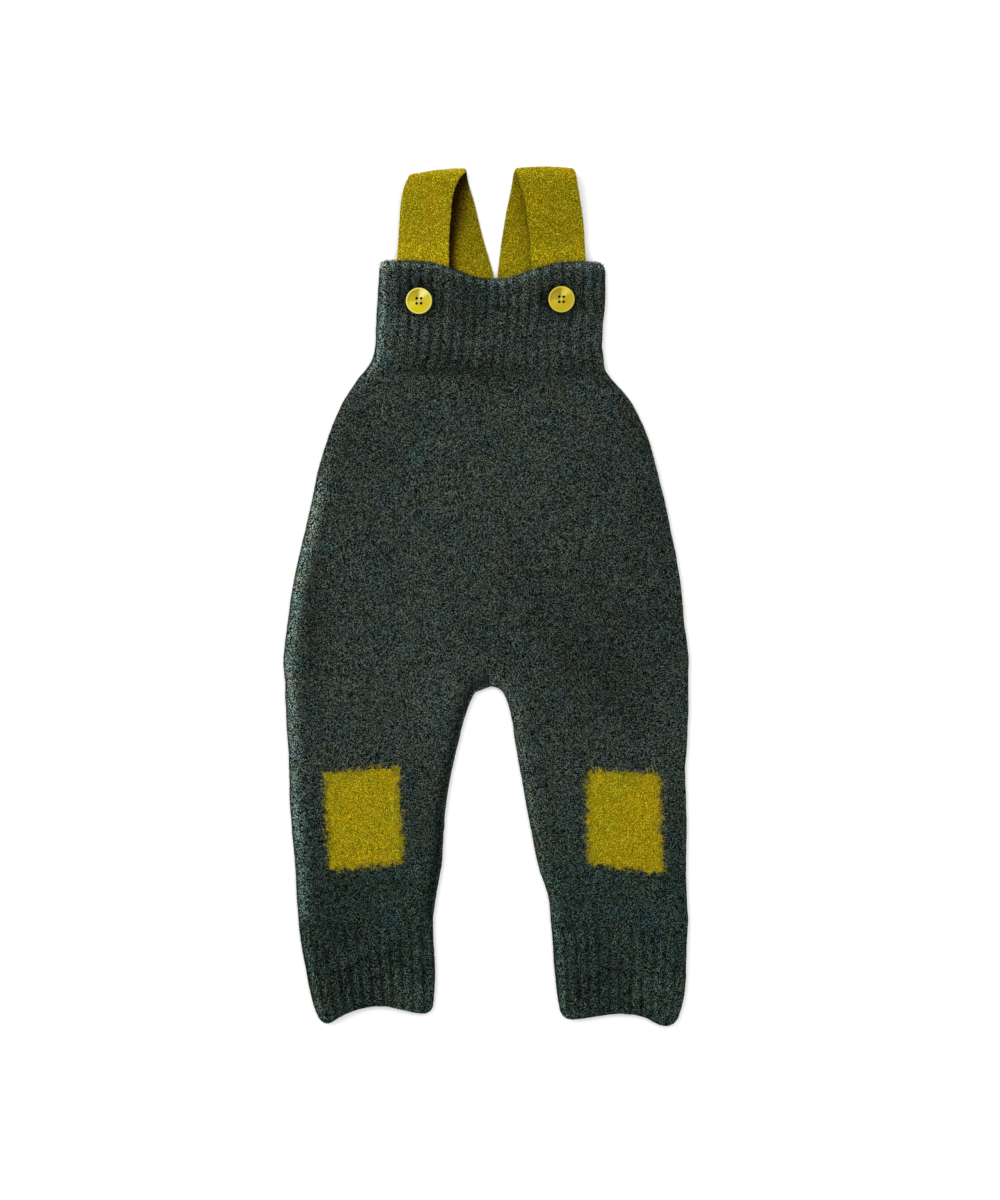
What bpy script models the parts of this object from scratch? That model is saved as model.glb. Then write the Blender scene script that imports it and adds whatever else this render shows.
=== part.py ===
"""Baby romper: dungarees in thick felted wool knit, laid flat on their back.

The front and the back are each one piece over the body and both legs. A ribbed band sits above
each of them, a ribbed cuff closes each leg, and two straps run from behind the front band, turn
over at the top and come down to the back band. Two buttons hold the straps to the front band.

All sizes are in millimetres. x runs across the garment, `up` runs from the lowest point of the
hems towards the straps, and z is the height above the surface that the garment lies on. Left and
right are those of someone who looks down on the garment with the straps at the top.
"""

import math
from collections import namedtuple

import bmesh
import bpy
from mathutils import Vector

MM = 0.001

# Cloth
LENGTH = 557.5  # hem to the top of the straps
WALL = 2.8  # felted knit of the body, bands and cuffs
STRAP_WALL = 2.5
AIR = 0.6  # between the front and the back
SEAM = 0.3  # gap between two pieces that are sewn together
MIDDLE = WALL + AIR / 2  # height of the side seams
UNDER = WALL + AIR  # underside of the front

# Edges
EDGE = 6.0  # a panel rounds down to its side seam over this width
EDGE_STEPS = (0.0, 0.5, 1.6, 3.4, EDGE)  # columns of the mesh along a side seam
LIP = 2.5  # a free edge rounds over within this distance
LIP_STEPS = (0.0, 0.4, 1.2, LIP)
LIP_DROP = 0.55  # shares of the wall that a free edge loses above and below
LIP_RISE = 0.2
ROLL_HEIGHT = 0.8  # the cloth stands higher where it turns under at the sides
ROLL_FROM_EDGE = 10.0
ROLL_WIDTH = 7.0
ON_EDGE = 0.25  # a point this close to an outline counts as on it
CREASE = math.radians(50)  # edges sharper than this are shaded sharp
FACING_UP = 0.5  # least upward share of the normal of a face on the upper side

# Ribs
RIB_RISE = 1.1
RIB_CREST = 0.6  # power that flattens the crest; 1 is a sine
RIB_FADE = 6.0  # the ribs fade over this distance to the plain knit
RIB_PHASES = (0.0, 0.3, 0.7)  # columns of the mesh in one rib
RIBBED_SIDE = (0.06, 0.16)  # extra columns beside a side seam, counted in ribs
PLAIN_SIDE = (0.06, 0.16, 0.45, 1.0)  # the same on a side without ribs
BAND_RIBS = 21
CUFF_RIBS = 12

# Body: a row for each section, from the cuffs to the band. The side points lie at side_up and
# the inseam points at inner_up. Above the crotch both inseam points are on the centre line.
Section = namedtuple("Section", "side_up left right inner_up left_inner right_inner")
CENTRE = 2.0
SECTIONS = [
    Section(*row)
    for row in (
        (69.0, -122.0, 131.5, 69.0, -34.5, 42.0),
        (84.5, -123.0, 130.5, 84.5, -32.5, 40.5),
        (104.0, -124.0, 130.0, 104.0, -29.0, 34.0),
        (126.0, -126.0, 130.5, 126.0, -27.5, 29.5),
        (147.0, -127.5, 130.0, 147.0, -25.5, 25.5),
        (166.0, -128.0, 129.5, 167.0, -22.0, 22.0),
        (180.5, -128.5, 130.5, 184.0, -18.0, 19.0),
        (193.5, -129.5, 131.0, 198.0, -14.5, 17.0),
        (205.0, -130.0, 131.5, 208.5, -11.0, 14.5),
        (213.0, -130.5, 131.5, 215.0, -8.0, 12.0),
        (220.5, -130.5, 131.5, 219.5, -4.5, 8.5),
        (227.0, -131.0, 131.5, 221.5, CENTRE, CENTRE),
        (232.5, -131.5, 131.5, 225.0, CENTRE, CENTRE),
        (240.0, -131.5, 131.5, 231.0, CENTRE, CENTRE),
        (250.0, -130.5, 130.5, 240.5, CENTRE, CENTRE),
        (265.0, -128.5, 128.5, 257.5, CENTRE, CENTRE),
        (283.5, -126.0, 127.0, 279.0, CENTRE, CENTRE),
        (303.0, -122.0, 124.0, 301.0, CENTRE, CENTRE),
        (322.5, -117.5, 120.0, 322.0, CENTRE, CENTRE),
        (342.0, -113.0, 116.0, 342.0, CENTRE, CENTRE),
        (361.5, -109.0, 111.0, 361.5, CENTRE, CENTRE),
        (378.5, -104.0, 106.5, 378.5, CENTRE, CENTRE),
        (392.5, -99.0, 101.0, 392.5, CENTRE, CENTRE),
        (404.5, -93.5, 95.0, 404.5, CENTRE, CENTRE),
        (413.5, -88.0, 88.0, 413.5, CENTRE, CENTRE),
        (421.0, -83.0, 81.0, 421.0, CENTRE, CENTRE),
    )
]
CUFF_TOP = SECTIONS[0].side_up
BAND_FOOT = SECTIONS[-1].side_up
CROTCH = next(i for i, row in enumerate(SECTIONS) if row.left_inner == row.right_inner)
MIDDLE_COLUMNS = 4  # columns between the two edges of half a section
FAN = 60.0  # the columns at the crotch spread out over this height

# Bands: their sides, and the top edge of the front one
Sides = namedtuple("Sides", "up left right")
BAND_SIDES = [
    Sides(*row)
    for row in (
        (421.0, -83.0, 81.0),
        (426.5, -78.0, 77.5),
        (433.0, -74.0, 76.5),
        (442.5, -72.0, 75.5),
        (455.5, -71.5, 76.0),
        (472.0, -70.5, 77.5),
        (488.0, -69.5, 77.5),
        (497.0, -69.5, 77.5),
    )
]
Rim = namedtuple("Rim", "x up")
BAND_TOP = [
    Rim(*row)
    for row in (
        (-69.5, 496.5),
        (-56.0, 496.5),
        (-40.5, 496.0),
        (-28.5, 493.5),
        (-17.0, 489.5),
        (-7.0, 486.0),
        (4.0, 485.0),
        (15.0, 485.5),
        (26.0, 489.0),
        (37.5, 493.0),
        (49.5, 495.5),
        (77.5, 495.5),
    )
]
BAND_CORNER = 5.0
BAND_ROWS = (0.1, 0.22, 0.36, 0.5, 0.62, 0.74, 0.87, 1.0)
BACK_BAND_DROP = 5.0  # the back band ends this far below the front one
BACK_BAND_COLUMNS = 13  # between the columns beside its side seams
BACK_BAND_ROWS = (0.3, 0.65, 0.85, 1.0)

# Cuffs: their sides and hems
Cuff = namedtuple("Cuff", "name sides hem corner")
CUFFS = (
    Cuff(
        "cuff_left",
        [
            Sides(*row)
            for row in (
                (69.0, -122.0, -34.5),
                (52.5, -120.0, -34.0),
                (36.5, -117.0, -33.0),
                (23.5, -114.5, -33.5),
                (13.5, -112.0, -34.5),
                (1.5, -107.0, -36.5),
            )
        ],
        [
            Rim(*row)
            for row in (
                (-112.0, 1.0),
                (-101.5, 2.0),
                (-93.5, 6.0),
                (-80.5, 11.0),
                (-66.5, 13.0),
                (-54.5, 10.5),
                (-45.0, 8.5),
                (-34.0, 8.0),
            )
        ],
        5.0,
    ),
    Cuff(
        "cuff_right",
        [
            Sides(*row)
            for row in (
                (69.0, 42.0, 131.5),
                (52.5, 43.5, 130.5),
                (36.5, 44.5, 130.0),
                (23.5, 46.0, 129.5),
                (13.5, 47.5, 127.5),
                (0.0, 50.5, 123.0),
            )
        ],
        [
            Rim(*row)
            for row in (
                (47.0, 4.5),
                (59.0, 4.5),
                (74.0, 6.5),
                (85.0, 8.0),
                (100.0, 6.5),
                (110.0, 2.0),
                (117.0, 0.0),
                (127.0, 0.5),
            )
        ],
        6.0,
    ),
)
CUFF_ROWS = (0.25, 0.5, 0.75, 0.9, 1.0)
CUFF_UNDER_COLUMNS = 3

# Straps: a row for each section, from the end behind the front band, over the turn at the top,
# to the back band. The points are the two edges of the strap, halfway through its wall.
Across = namedtuple("Across", "left left_up left_z right right_up right_z")
STRAPS = {
    "strap_left": [
        Across(*row)
        for row in (
            (-57.0, 449.0, 4.35, -23.5, 449.0, 4.35),
            (-57.5, 472.0, 4.35, -23.5, 472.0, 4.35),
            (-58.0, 494.5, 4.4, -24.0, 494.0, 4.4),
            (-57.0, 511.0, 5.2, -24.0, 511.0, 5.2),
            (-56.0, 526.5, 7.2, -23.0, 525.0, 7.2),
            (-54.5, 539.0, 9.4, -21.5, 540.0, 9.6),
            (-52.5, 546.5, 11.0, -18.0, 549.0, 11.0),
            (-50.5, 550.5, 10.2, -14.5, 554.0, 10.2),
            (-50.0, 551.5, 6.6, -13.0, 556.0, 6.8),
            (-49.5, 549.5, 2.9, -12.5, 554.0, 2.9),
            (-49.0, 544.5, 1.35, -11.5, 548.0, 1.35),
            (-42.0, 534.5, 1.25, -7.5, 534.5, 1.25),
            (-36.0, 514.0, 1.25, -2.5, 514.0, 1.25),
            (-29.0, 488.0, 1.25, 5.0, 488.0, 1.25),
        )
    ],
    "strap_right": [
        Across(*row)
        for row in (
            (33.0, 449.0, 4.35, 68.0, 449.0, 4.35),
            (31.5, 472.0, 4.35, 67.0, 472.0, 4.35),
            (29.5, 494.0, 4.4, 65.0, 495.5, 4.4),
            (28.5, 511.0, 5.0, 64.0, 511.0, 5.0),
            (27.0, 524.0, 6.4, 63.0, 524.5, 6.4),
            (25.5, 535.5, 8.2, 61.0, 537.5, 8.2),
            (23.0, 544.5, 9.8, 59.5, 546.5, 9.8),
            (21.0, 552.0, 9.4, 58.5, 553.0, 9.4),
            (19.5, 556.0, 6.2, 57.0, 556.0, 6.2),
            (18.0, 553.5, 2.7, 55.5, 553.5, 2.7),
            (17.0, 547.5, 1.35, 53.5, 548.0, 1.35),
            (14.5, 535.0, 1.25, 49.5, 535.0, 1.25),
            (11.0, 515.5, 1.25, 45.0, 515.5, 1.25),
            (7.5, 488.0, 1.25, 41.0, 488.0, 1.25),
        )
    ],
}
STRAP_STEPS = 2  # rows of the mesh for each section
STRAP_COLUMNS = (0.0, 0.015, 0.045, 0.2, 0.4, 0.6, 0.8, 0.955, 0.985, 1.0)
STRAP_EDGE = 1.5  # the strap's edges round over within this distance
STRAP_EDGE_WALL = 0.35  # share of the wall left at the very edge
BEHIND = 3  # sections of a strap that lie behind the front band
DRAPE = 12.0  # the band slopes off a strap over this distance
STRAP_CLEAR = 0.35  # between a strap and the band over it
STRAP_LIFT = WALL + SEAM + STRAP_WALL + STRAP_CLEAR - UNDER

# Buttons
BUTTON_PLACES = {"button_left": (-43.5, 471.0), "button_right": (49.0, 472.0)}
BUTTON_RADIUS = 8.9
Turn = namedtuple("Turn", "radius height")
BUTTON_PROFILE = [
    Turn(*row)
    for row in (
        (0.0, 0.0),
        (6.2, 0.0),
        (7.9, 0.5),
        (BUTTON_RADIUS, 1.5),
        (8.8, 2.3),
        (8.3, 2.8),
        (7.7, 2.8),
        (7.0, 2.3),
        (5.2, 1.8),
        (0.0, 1.6),
    )
]
BUTTON_SIDES = 40
HOLE_RADIUS = 0.95
HOLE_SIDES = 12
HOLE_PLACES = [(x, y) for x in (-1.4, 1.4) for y in (-1.6, 1.6)]
HOLE_CUTTER = 9.0  # length of the tools that cut the holes

# Knee fields, knitted in: their corners, lower left first and then anticlockwise
KNEES = (
    ((-101.5, 100.5), (-53.5, 105.5), (-57.5, 168.5), (-105.5, 164.5)),
    ((66.5, 105.0), (115.0, 99.0), (113.0, 164.5), (66.0, 167.0)),
)

# Finishes: colour and roughness
GREEN_WOOL = ("green_wool", (0.030, 0.039, 0.033), 0.95)
MUSTARD_WOOL = ("mustard_wool", (0.33, 0.24, 0.015), 0.95)
BUTTON_HORN = ("button_yellow", (0.60, 0.46, 0.05), 0.25)


def blend(a, b, share):
    return a + (b - a) * share


def quarter(share):
    """Quarter of an ellipse: it rises steeply from 0 at 0 and is level from 1 on."""
    share = min(max(share, 0.0), 1.0)
    return math.sqrt(1.0 - (1.0 - share) ** 2)


def ease(share):
    """Smooth step from 0 to 1."""
    share = min(max(share, 0.0), 1.0)
    return share * share * (3.0 - 2.0 * share)


def hermite(before, after, slope_before, slope_after, share):
    """Cubic from one value to the next; the slopes are per whole step."""
    square, cube = share**2, share**3
    return (
        (2 * cube - 3 * square + 1) * before
        + (cube - 2 * square + share) * slope_before
        + (3 * square - 2 * cube) * after
        + (cube - square) * slope_after
    )


def smooth(keys, values, at):
    """Smooth curve through values at rising or falling keys, level beyond its ends."""
    if keys[0] > keys[-1]:
        keys, values = keys[::-1], values[::-1]
    at = min(max(at, keys[0]), keys[-1])
    last = len(keys) - 1
    i = min(sum(key <= at for key in keys) - 1, last - 1)
    step = keys[i + 1] - keys[i]
    slopes = []
    for k in (i, i + 1):
        low, high = max(k - 1, 0), min(k + 1, last)
        slopes.append((values[high] - values[low]) / (keys[high] - keys[low]) * step)
    return hermite(values[i], values[i + 1], *slopes, (at - keys[i]) / step)


def column(table, name):
    return [getattr(row, name) for row in table]


def side_at(table, side, up):
    return smooth(column(table, "up"), column(table, side), up)


def rim_at(table, x):
    return smooth(column(table, "x"), column(table, "up"), x)


def corner_cut(distance, radius):
    """How far a round corner falls short of the square one, this far from the side."""
    inside = max(radius - distance, 0.0)
    return radius - math.sqrt(radius**2 - inside**2)


def roll(distance):
    return ROLL_HEIGHT * math.exp(-(((distance - ROLL_FROM_EDGE) / ROLL_WIDTH) ** 2))


def lip(distance):
    """How much of the wall a free edge has lost, this far from the edge."""
    return WALL * (1.0 - quarter(distance / LIP))


def rib(count):
    """Height of the ribs, `count` ribs along from the side; 0 between two ribs."""
    return abs(math.sin(math.pi * count)) ** RIB_CREST


def place(x, up, z):
    """A point of the garment in the model's own frame, in metres."""
    return Vector((x, up - LENGTH / 2, z)) * MM


def build_material(name, colour, roughness):
    material = bpy.data.materials.new(name)
    material.use_nodes = True
    shader = material.node_tree.nodes["Principled BSDF"]
    shader.inputs["Base Color"].default_value = (*colour, 1.0)
    shader.inputs["Roughness"].default_value = roughness
    shader.inputs["Metallic"].default_value = 0.0
    return material


def add_object(name, mesh, finish):
    mesh.materials.append(build_material(f"{name}_{finish[0]}", *finish[1:]))
    mesh.shade_smooth()
    mesh.set_sharp_from_angle(angle=CREASE)
    piece = bpy.data.objects.new(name, mesh)
    bpy.context.scene.collection.objects.link(piece)
    return piece


def grid_faces(rows, columns, closed=False):
    """Quads of a grid whose points are numbered row by row; closed joins its last column."""
    faces = []
    for row in range(rows - 1):
        for i in range(columns if closed else columns - 1):
            j = (i + 1) % columns
            faces.append(
                (
                    row * columns + i,
                    row * columns + j,
                    (row + 1) * columns + j,
                    (row + 1) * columns + i,
                )
            )
    return faces


def wall(name, outer, inner, faces, finish):
    """Closed wall between two skins that share one pattern of faces.

    The faces turn anticlockwise seen from outside. Each edge that only one face uses is a free
    edge of the cloth, and gets a strip from the outer skin to the inner one.
    """
    count = len(outer)
    edges = [edge for face in faces for edge in zip(face, face[1:] + face[:1])]
    paired = set(edges)
    everything = list(faces)
    everything += [tuple(count + i for i in reversed(face)) for face in faces]
    everything += [(b, a, count + a, count + b) for a, b in edges if (b, a) not in paired]
    mesh = bpy.data.meshes.new(name)
    mesh.from_pydata([place(*p) for p in outer + inner], [], everything)
    return add_object(name, mesh, finish)


def heights(upper_side, distance, lost=0.0, ribs=0.0, over_strap=0.0):
    """Heights of the outer and the inner face of a wall, this far inside its side seam."""
    if not upper_side:
        return 0.0, WALL - LIP_RISE * lost
    under = UNDER + blend(roll(distance), STRAP_LIFT, over_strap)
    return under + WALL + RIB_RISE * ribs - LIP_DROP * lost, under + LIP_RISE * lost


def skins(point, inward, distance, seam_z, faces):
    """The outer and the inner point of a wall that rounds down, or up, to its side seam."""
    round_over = quarter(distance / EDGE)
    inside = point + inward * WALL * max(1.0 - distance / EDGE, 0.0)
    outer_z, inner_z = (blend(seam_z, z, round_over) for z in faces)
    return (point.x, point.y, outer_z), (inside.x, inside.y, inner_z)


def row_from_edge(number, edge, end, rows):
    """Place of a row of the mesh: close rows along a free edge, then on to the other end."""
    onward = math.copysign(1.0, end - edge)
    if number < len(LIP_STEPS):
        return edge + onward * LIP_STEPS[number]
    return blend(edge + onward * LIP, end, rows[number - len(LIP_STEPS)])


def ribbed_columns(ribs):
    """Places across a ribbed piece, counted in ribs from its left side."""
    inside = [k + phase for k in range(ribs) for phase in RIB_PHASES]
    mirrored = [ribs - step for step in reversed(RIBBED_SIDE)]
    return [0.0, *RIBBED_SIDE, *inside[1:], *mirrored, ribs]


def plain_columns(ribs, between):
    """The same for the side of it that lies underneath and has no ribs."""
    edge = [0.0, *PLAIN_SIDE]
    last = edge[-1]
    inside = [blend(last, ribs - last, (i + 1) / (between + 1)) for i in range(between)]
    return edge + inside + [ribs - step for step in reversed(edge)]


# Body


def section_fractions(width, above_crotch):
    """Places of the columns from the side to the inseam, as shares of the section's width."""
    last = EDGE_STEPS[-1]
    between = MIDDLE_COLUMNS + 1
    middle = [blend(last, width - last, (i + 1) / between) for i in range(MIDDLE_COLUMNS)]
    inner = [width - step for step in reversed(EDGE_STEPS)]
    spread = ease(above_crotch / FAN)
    count = len(inner) + MIDDLE_COLUMNS
    even = [blend(last, width, (i + 1) / count) for i in range(count)]
    tail = [blend(a, b, spread) for a, b in zip(middle + inner, even)]
    return [distance / width for distance in list(EDGE_STEPS) + tail]


def half_sections(side, inner):
    """Points of half a body, row by row, from its side to its inseam or centre line."""
    rows = []
    for number, row in enumerate(SECTIONS):
        start = Vector((getattr(row, side), row.side_up))
        end = Vector((getattr(row, inner), row.inner_up))
        above = max(row.inner_up - SECTIONS[CROTCH].inner_up, 0.0)
        fractions = section_fractions((end - start).length, above)
        points = [start.lerp(end, share) for share in fractions]
        if number == 0:
            points = [point + Vector((0.0, SEAM / 2)) for point in points]
        if number == len(SECTIONS) - 1:
            points = [point - Vector((0.0, SEAM / 2)) for point in points]
        rows.append(points)
    return rows


def body_pattern():
    """Flat points and faces of a body panel, and the row that each point is in."""
    left = half_sections("left", "left_inner")
    right = half_sections("right", "right_inner")
    columns = len(left[0])
    points, rows, index = [], [], {}
    for side, half in (("left", left), ("right", right)):
        for i, row in enumerate(half):
            for j, point in enumerate(row):
                if side == "right" and j == columns - 1 and i >= CROTCH:
                    index[side, i, j] = index["left", i, j]
                    continue
                index[side, i, j] = len(points)
                points.append(point)
                rows.append(i)
    faces = []
    for side in ("left", "right"):
        for i in range(len(left) - 1):
            for j in range(columns - 1):
                corners = ((i, j), (i, j + 1), (i + 1, j + 1), (i + 1, j))
                face = tuple(index[side, a, b] for a, b in corners)
                faces.append(face if side == "left" else face[::-1])
    return points, faces, rows


def body_outline():
    """The sides and the inseam, each with the cloth on its left hand."""
    left = [Vector((row.left, row.side_up)) for row in reversed(SECTIONS)]
    right = [Vector((row.right, row.side_up)) for row in SECTIONS]
    legs = SECTIONS[: CROTCH + 1]
    inseam = [Vector((row.left_inner, row.inner_up)) for row in legs]
    inseam += [Vector((row.right_inner, row.inner_up)) for row in reversed(legs[:-1])]
    return left, inseam, right


def nearest(point, line):
    """Distance to a line of points, and the direction from it into the cloth."""
    best = None
    for i, (a, b) in enumerate(zip(line, line[1:])):
        along = b - a
        share = min(max((point - a).dot(along) / along.length_squared, 0.0), 1.0)
        away = point - (a + along * share)
        if best is None or away.length < best[0]:
            ends = line[max(i - 1, 0)], line[min(i + 2, len(line) - 1)]
            tangent = ((ends[1] - ends[0]) + along).normalized()
            best = (away.length, away, Vector((-tangent.y, tangent.x)))
    distance, away, normal = best
    return distance, away.normalized() if distance > ON_EDGE else normal


def build_body(name, front):
    """One panel over the body and both legs. Its rim meets the other panel at MIDDLE."""
    points, faces, rows = body_pattern()
    left, inseam, right = body_outline()
    seam_z = MIDDLE + (SEAM / 2 if front else -SEAM / 2)
    outer, inner = [], []
    for point, row in zip(points, rows):
        distance, inward = nearest(point, inseam)
        for line, direction in ((left, 1.0), (right, -1.0)):
            side_distance = nearest(point, line)[0]
            if side_distance < distance:
                distance, inward = side_distance, Vector((direction, 0.0))
        if row in (0, len(SECTIONS) - 1):
            inward.y = 0.0
        pair = skins(point, inward, distance, seam_z, heights(front, distance))
        outer.append(pair[0])
        inner.append(pair[1])
    if not front:
        faces = [face[::-1] for face in faces]
    return wall(name, outer, inner, faces, GREEN_WOOL)


def colour_knees(body):
    """Cuts the outline of each knee field into the front's upper skin and colours it."""
    body.data.materials.append(build_material("knee_mustard_wool", *MUSTARD_WOOL[1:]))
    bm = bmesh.new()
    bm.from_mesh(body.data)
    for corners in KNEES:
        corners = [place(x, up, 0.0) for x, up in corners]
        low = Vector((min(c.x for c in corners), min(c.y for c in corners)))
        high = Vector((max(c.x for c in corners), max(c.y for c in corners)))
        sides = list(zip(corners, corners[1:] + corners[:1]))
        for a, b in sides:
            along = b - a
            region = [
                face
                for face in bm.faces
                if face.normal.z > FACING_UP
                and any(low.x <= v.co.x <= high.x for v in face.verts)
                and any(low.y <= v.co.y <= high.y for v in face.verts)
            ]
            parts = set(region)
            parts.update(edge for face in region for edge in face.edges)
            parts.update(vert for face in region for vert in face.verts)
            bmesh.ops.bisect_plane(
                bm, geom=list(parts), plane_co=a, plane_no=(along.y, -along.x, 0.0)
            )
        for face in bm.faces:
            middle = face.calc_center_median()
            inside = all(
                (b.x - a.x) * (middle.y - a.y) > (b.y - a.y) * (middle.x - a.x)
                for a, b in sides
            )
            if inside and face.normal.z > FACING_UP:
                face.material_index = 1
    bm.to_mesh(body.data)
    bm.free()


# Bands


def over_straps(x, up):
    """1 over the strap ends behind the front band, falling to 0 around them."""
    share = 0.0
    for table in STRAPS.values():
        behind = table[:BEHIND]
        left = smooth(column(behind, "left_up"), column(behind, "left"), up)
        right = smooth(column(behind, "right_up"), column(behind, "right"), up)
        beside = max(left - x, x - right, 0.0)
        below = max(behind[0].left_up - up, 0.0)
        share = max(share, 1.0 - ease(math.hypot(beside, below) / DRAPE))
    return share


def build_band(name, front):
    """Ribbed band above the front, or the plainer one that the garment rests on."""
    counts = ribbed_columns(BAND_RIBS) if front else plain_columns(BAND_RIBS, BACK_BAND_COLUMNS)
    seam_z = MIDDLE + (SEAM / 2 if front else -SEAM / 2)
    drop = 0.0 if front else BACK_BAND_DROP
    foot = BAND_FOOT + SEAM / 2
    high = BAND_SIDES[-1]
    lower_rows = BAND_ROWS if front else BACK_BAND_ROWS
    outer, inner = [], []
    for number in range(len(LIP_STEPS) + len(lower_rows)):
        for count in counts:
            share = count / BAND_RIBS
            from_side = min(share, 1.0 - share)
            top = rim_at(BAND_TOP, blend(high.left, high.right, share)) - drop
            top -= corner_cut(from_side * (high.right - high.left), BAND_CORNER)
            up = row_from_edge(number, top, foot, lower_rows)
            left, right = side_at(BAND_SIDES, "left", up), side_at(BAND_SIDES, "right", up)
            point = Vector((blend(left, right, share), up))
            distance = from_side * (right - left)
            faces = heights(
                front,
                distance,
                lost=lip(top - up),
                ribs=rib(count) * ease((up - foot) / RIB_FADE),
                over_strap=over_straps(*point),
            )
            inward = Vector((1.0 if share < 0.5 else -1.0, 0.0))
            pair = skins(point, inward, distance, seam_z, faces)
            outer.append(pair[0])
            inner.append(pair[1])
    faces = grid_faces(len(LIP_STEPS) + len(lower_rows), len(counts))
    if front:
        faces = [face[::-1] for face in faces]
    return wall(name, outer, inner, faces, GREEN_WOOL)


# Cuffs


def cuff_ring():
    """Places round a cuff, counted in ribs, and whether each is on the upper side."""
    under = plain_columns(CUFF_RIBS, CUFF_UNDER_COLUMNS)[-2:0:-1]
    return [(count, True) for count in ribbed_columns(CUFF_RIBS)] + [
        (count, False) for count in under
    ]


def build_cuff(cuff):
    """Ribbed tube, pressed flat, ribbed on its upper side."""
    ring = cuff_ring()
    head = CUFF_TOP - SEAM / 2
    foot = cuff.sides[-1]
    outer, inner = [], []
    for number in range(len(LIP_STEPS) + len(CUFF_ROWS)):
        for count, is_upper in ring:
            share = count / CUFF_RIBS
            from_side = min(share, 1.0 - share)
            hem = rim_at(cuff.hem, blend(foot.left, foot.right, share))
            hem += corner_cut(from_side * (foot.right - foot.left), cuff.corner)
            up = row_from_edge(number, hem, head, CUFF_ROWS)
            left, right = side_at(cuff.sides, "left", up), side_at(cuff.sides, "right", up)
            point = Vector((blend(left, right, share), up))
            distance = from_side * (right - left)
            faces = heights(
                is_upper,
                distance,
                lost=lip(up - hem),
                ribs=rib(count) * ease((head - up) / RIB_FADE),
            )
            inward = Vector((1.0 if share < 0.5 else -1.0, 0.0))
            pair = skins(point, inward, distance, MIDDLE, faces)
            outer.append(pair[0])
            inner.append(pair[1])
    faces = grid_faces(len(LIP_STEPS) + len(CUFF_ROWS), len(ring), closed=True)
    return wall(cuff.name, outer, inner, faces, GREEN_WOOL)


# Straps


def strap_middle(table):
    """Points halfway through a strap's wall, row by row."""
    numbers = list(range(len(table)))
    curves = {name: column(table, name) for name in Across._fields}
    rows = []
    for step in range((len(table) - 1) * STRAP_STEPS + 1):
        at = step / STRAP_STEPS
        values = [smooth(numbers, curves[name], at) for name in Across._fields]
        left, right = Vector(values[:3]), Vector(values[3:])
        rows.append([left.lerp(right, share) for share in STRAP_COLUMNS])
    for point in rows[-1]:
        point.y = rim_at(BAND_TOP, point.x) - BACK_BAND_DROP + SEAM
    for row in rows:
        for point in row:
            point.z = max(point.z, STRAP_WALL / 2)
    return rows


def build_strap(name, table):
    rows = strap_middle(table)
    outer, inner = [], []
    for i, row in enumerate(rows):
        width = (row[-1] - row[0]).length
        for j, point in enumerate(row):
            along = rows[min(i + 1, len(rows) - 1)][j] - rows[max(i - 1, 0)][j]
            across = row[min(j + 1, len(row) - 1)] - row[max(j - 1, 0)]
            normal = across.cross(along).normalized()
            distance = min(STRAP_COLUMNS[j], 1.0 - STRAP_COLUMNS[j]) * width
            thickness = blend(STRAP_EDGE_WALL, 1.0, quarter(distance / STRAP_EDGE))
            half = normal * thickness * STRAP_WALL / 2
            outer.append(tuple(point + half))
            inner.append(tuple(point - half))
    faces = grid_faces(len(rows), len(STRAP_COLUMNS))
    return wall(name, outer, inner, faces, MUSTARD_WOOL)


# Buttons


def turned(name, profile, sides):
    """Mesh of a profile turned about z; its first and last points lie on the axis."""
    ring = [
        (math.cos(2 * math.pi * i / sides), math.sin(2 * math.pi * i / sides))
        for i in range(sides)
    ]
    inside = profile[1:-1]
    points = [(c * turn.radius, s * turn.radius, turn.height) for turn in inside for c, s in ring]
    faces = grid_faces(len(inside), sides, closed=True)
    faces.append(tuple(reversed(range(sides))))
    points.append((0.0, 0.0, profile[-1].height))
    start = (len(inside) - 1) * sides
    faces += [(start + i, start + (i + 1) % sides, len(points) - 1) for i in range(sides)]
    mesh = bpy.data.meshes.new(name)
    mesh.from_pydata([Vector(p) * MM for p in points], [], faces)
    return mesh


def build_button(name, x, up):
    """Four-hole button that lies on the crests of the ribs."""
    z = UNDER + STRAP_LIFT + WALL + RIB_RISE + SEAM
    button = add_object(name, turned(name, BUTTON_PROFILE, BUTTON_SIDES), BUTTON_HORN)
    button.location = place(x, up, z)
    bm = bmesh.new()
    for hole_x, hole_y in HOLE_PLACES:
        made = bmesh.ops.create_cone(
            bm,
            cap_ends=True,
            segments=HOLE_SIDES,
            radius1=HOLE_RADIUS * MM,
            radius2=HOLE_RADIUS * MM,
            depth=HOLE_CUTTER * MM,
        )
        bmesh.ops.translate(bm, verts=made["verts"], vec=Vector((hole_x, hole_y, 0.0)) * MM)
    mesh = bpy.data.meshes.new(f"{name}_hole_cutter")
    bm.to_mesh(mesh)
    bm.free()
    cutter = bpy.data.objects.new(f"{name}_hole_cutter", mesh)
    bpy.context.scene.collection.objects.link(cutter)
    cutter.location = button.location
    cutter.hide_render = True
    cutter.display_type = "WIRE"
    cut = button.modifiers.new("holes", "BOOLEAN")
    cut.operation = "DIFFERENCE"
    cut.object = cutter


def main():
    for piece in list(bpy.data.objects):
        bpy.data.objects.remove(piece, do_unlink=True)
    colour_knees(build_body("front_body", front=True))
    build_body("back_body", front=False)
    build_band("bib_front", front=True)
    build_band("bib_back", front=False)
    for cuff in CUFFS:
        build_cuff(cuff)
    for name, table in STRAPS.items():
        build_strap(name, table)
    for name, (x, up) in BUTTON_PLACES.items():
        build_button(name, x, up)


main()
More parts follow.
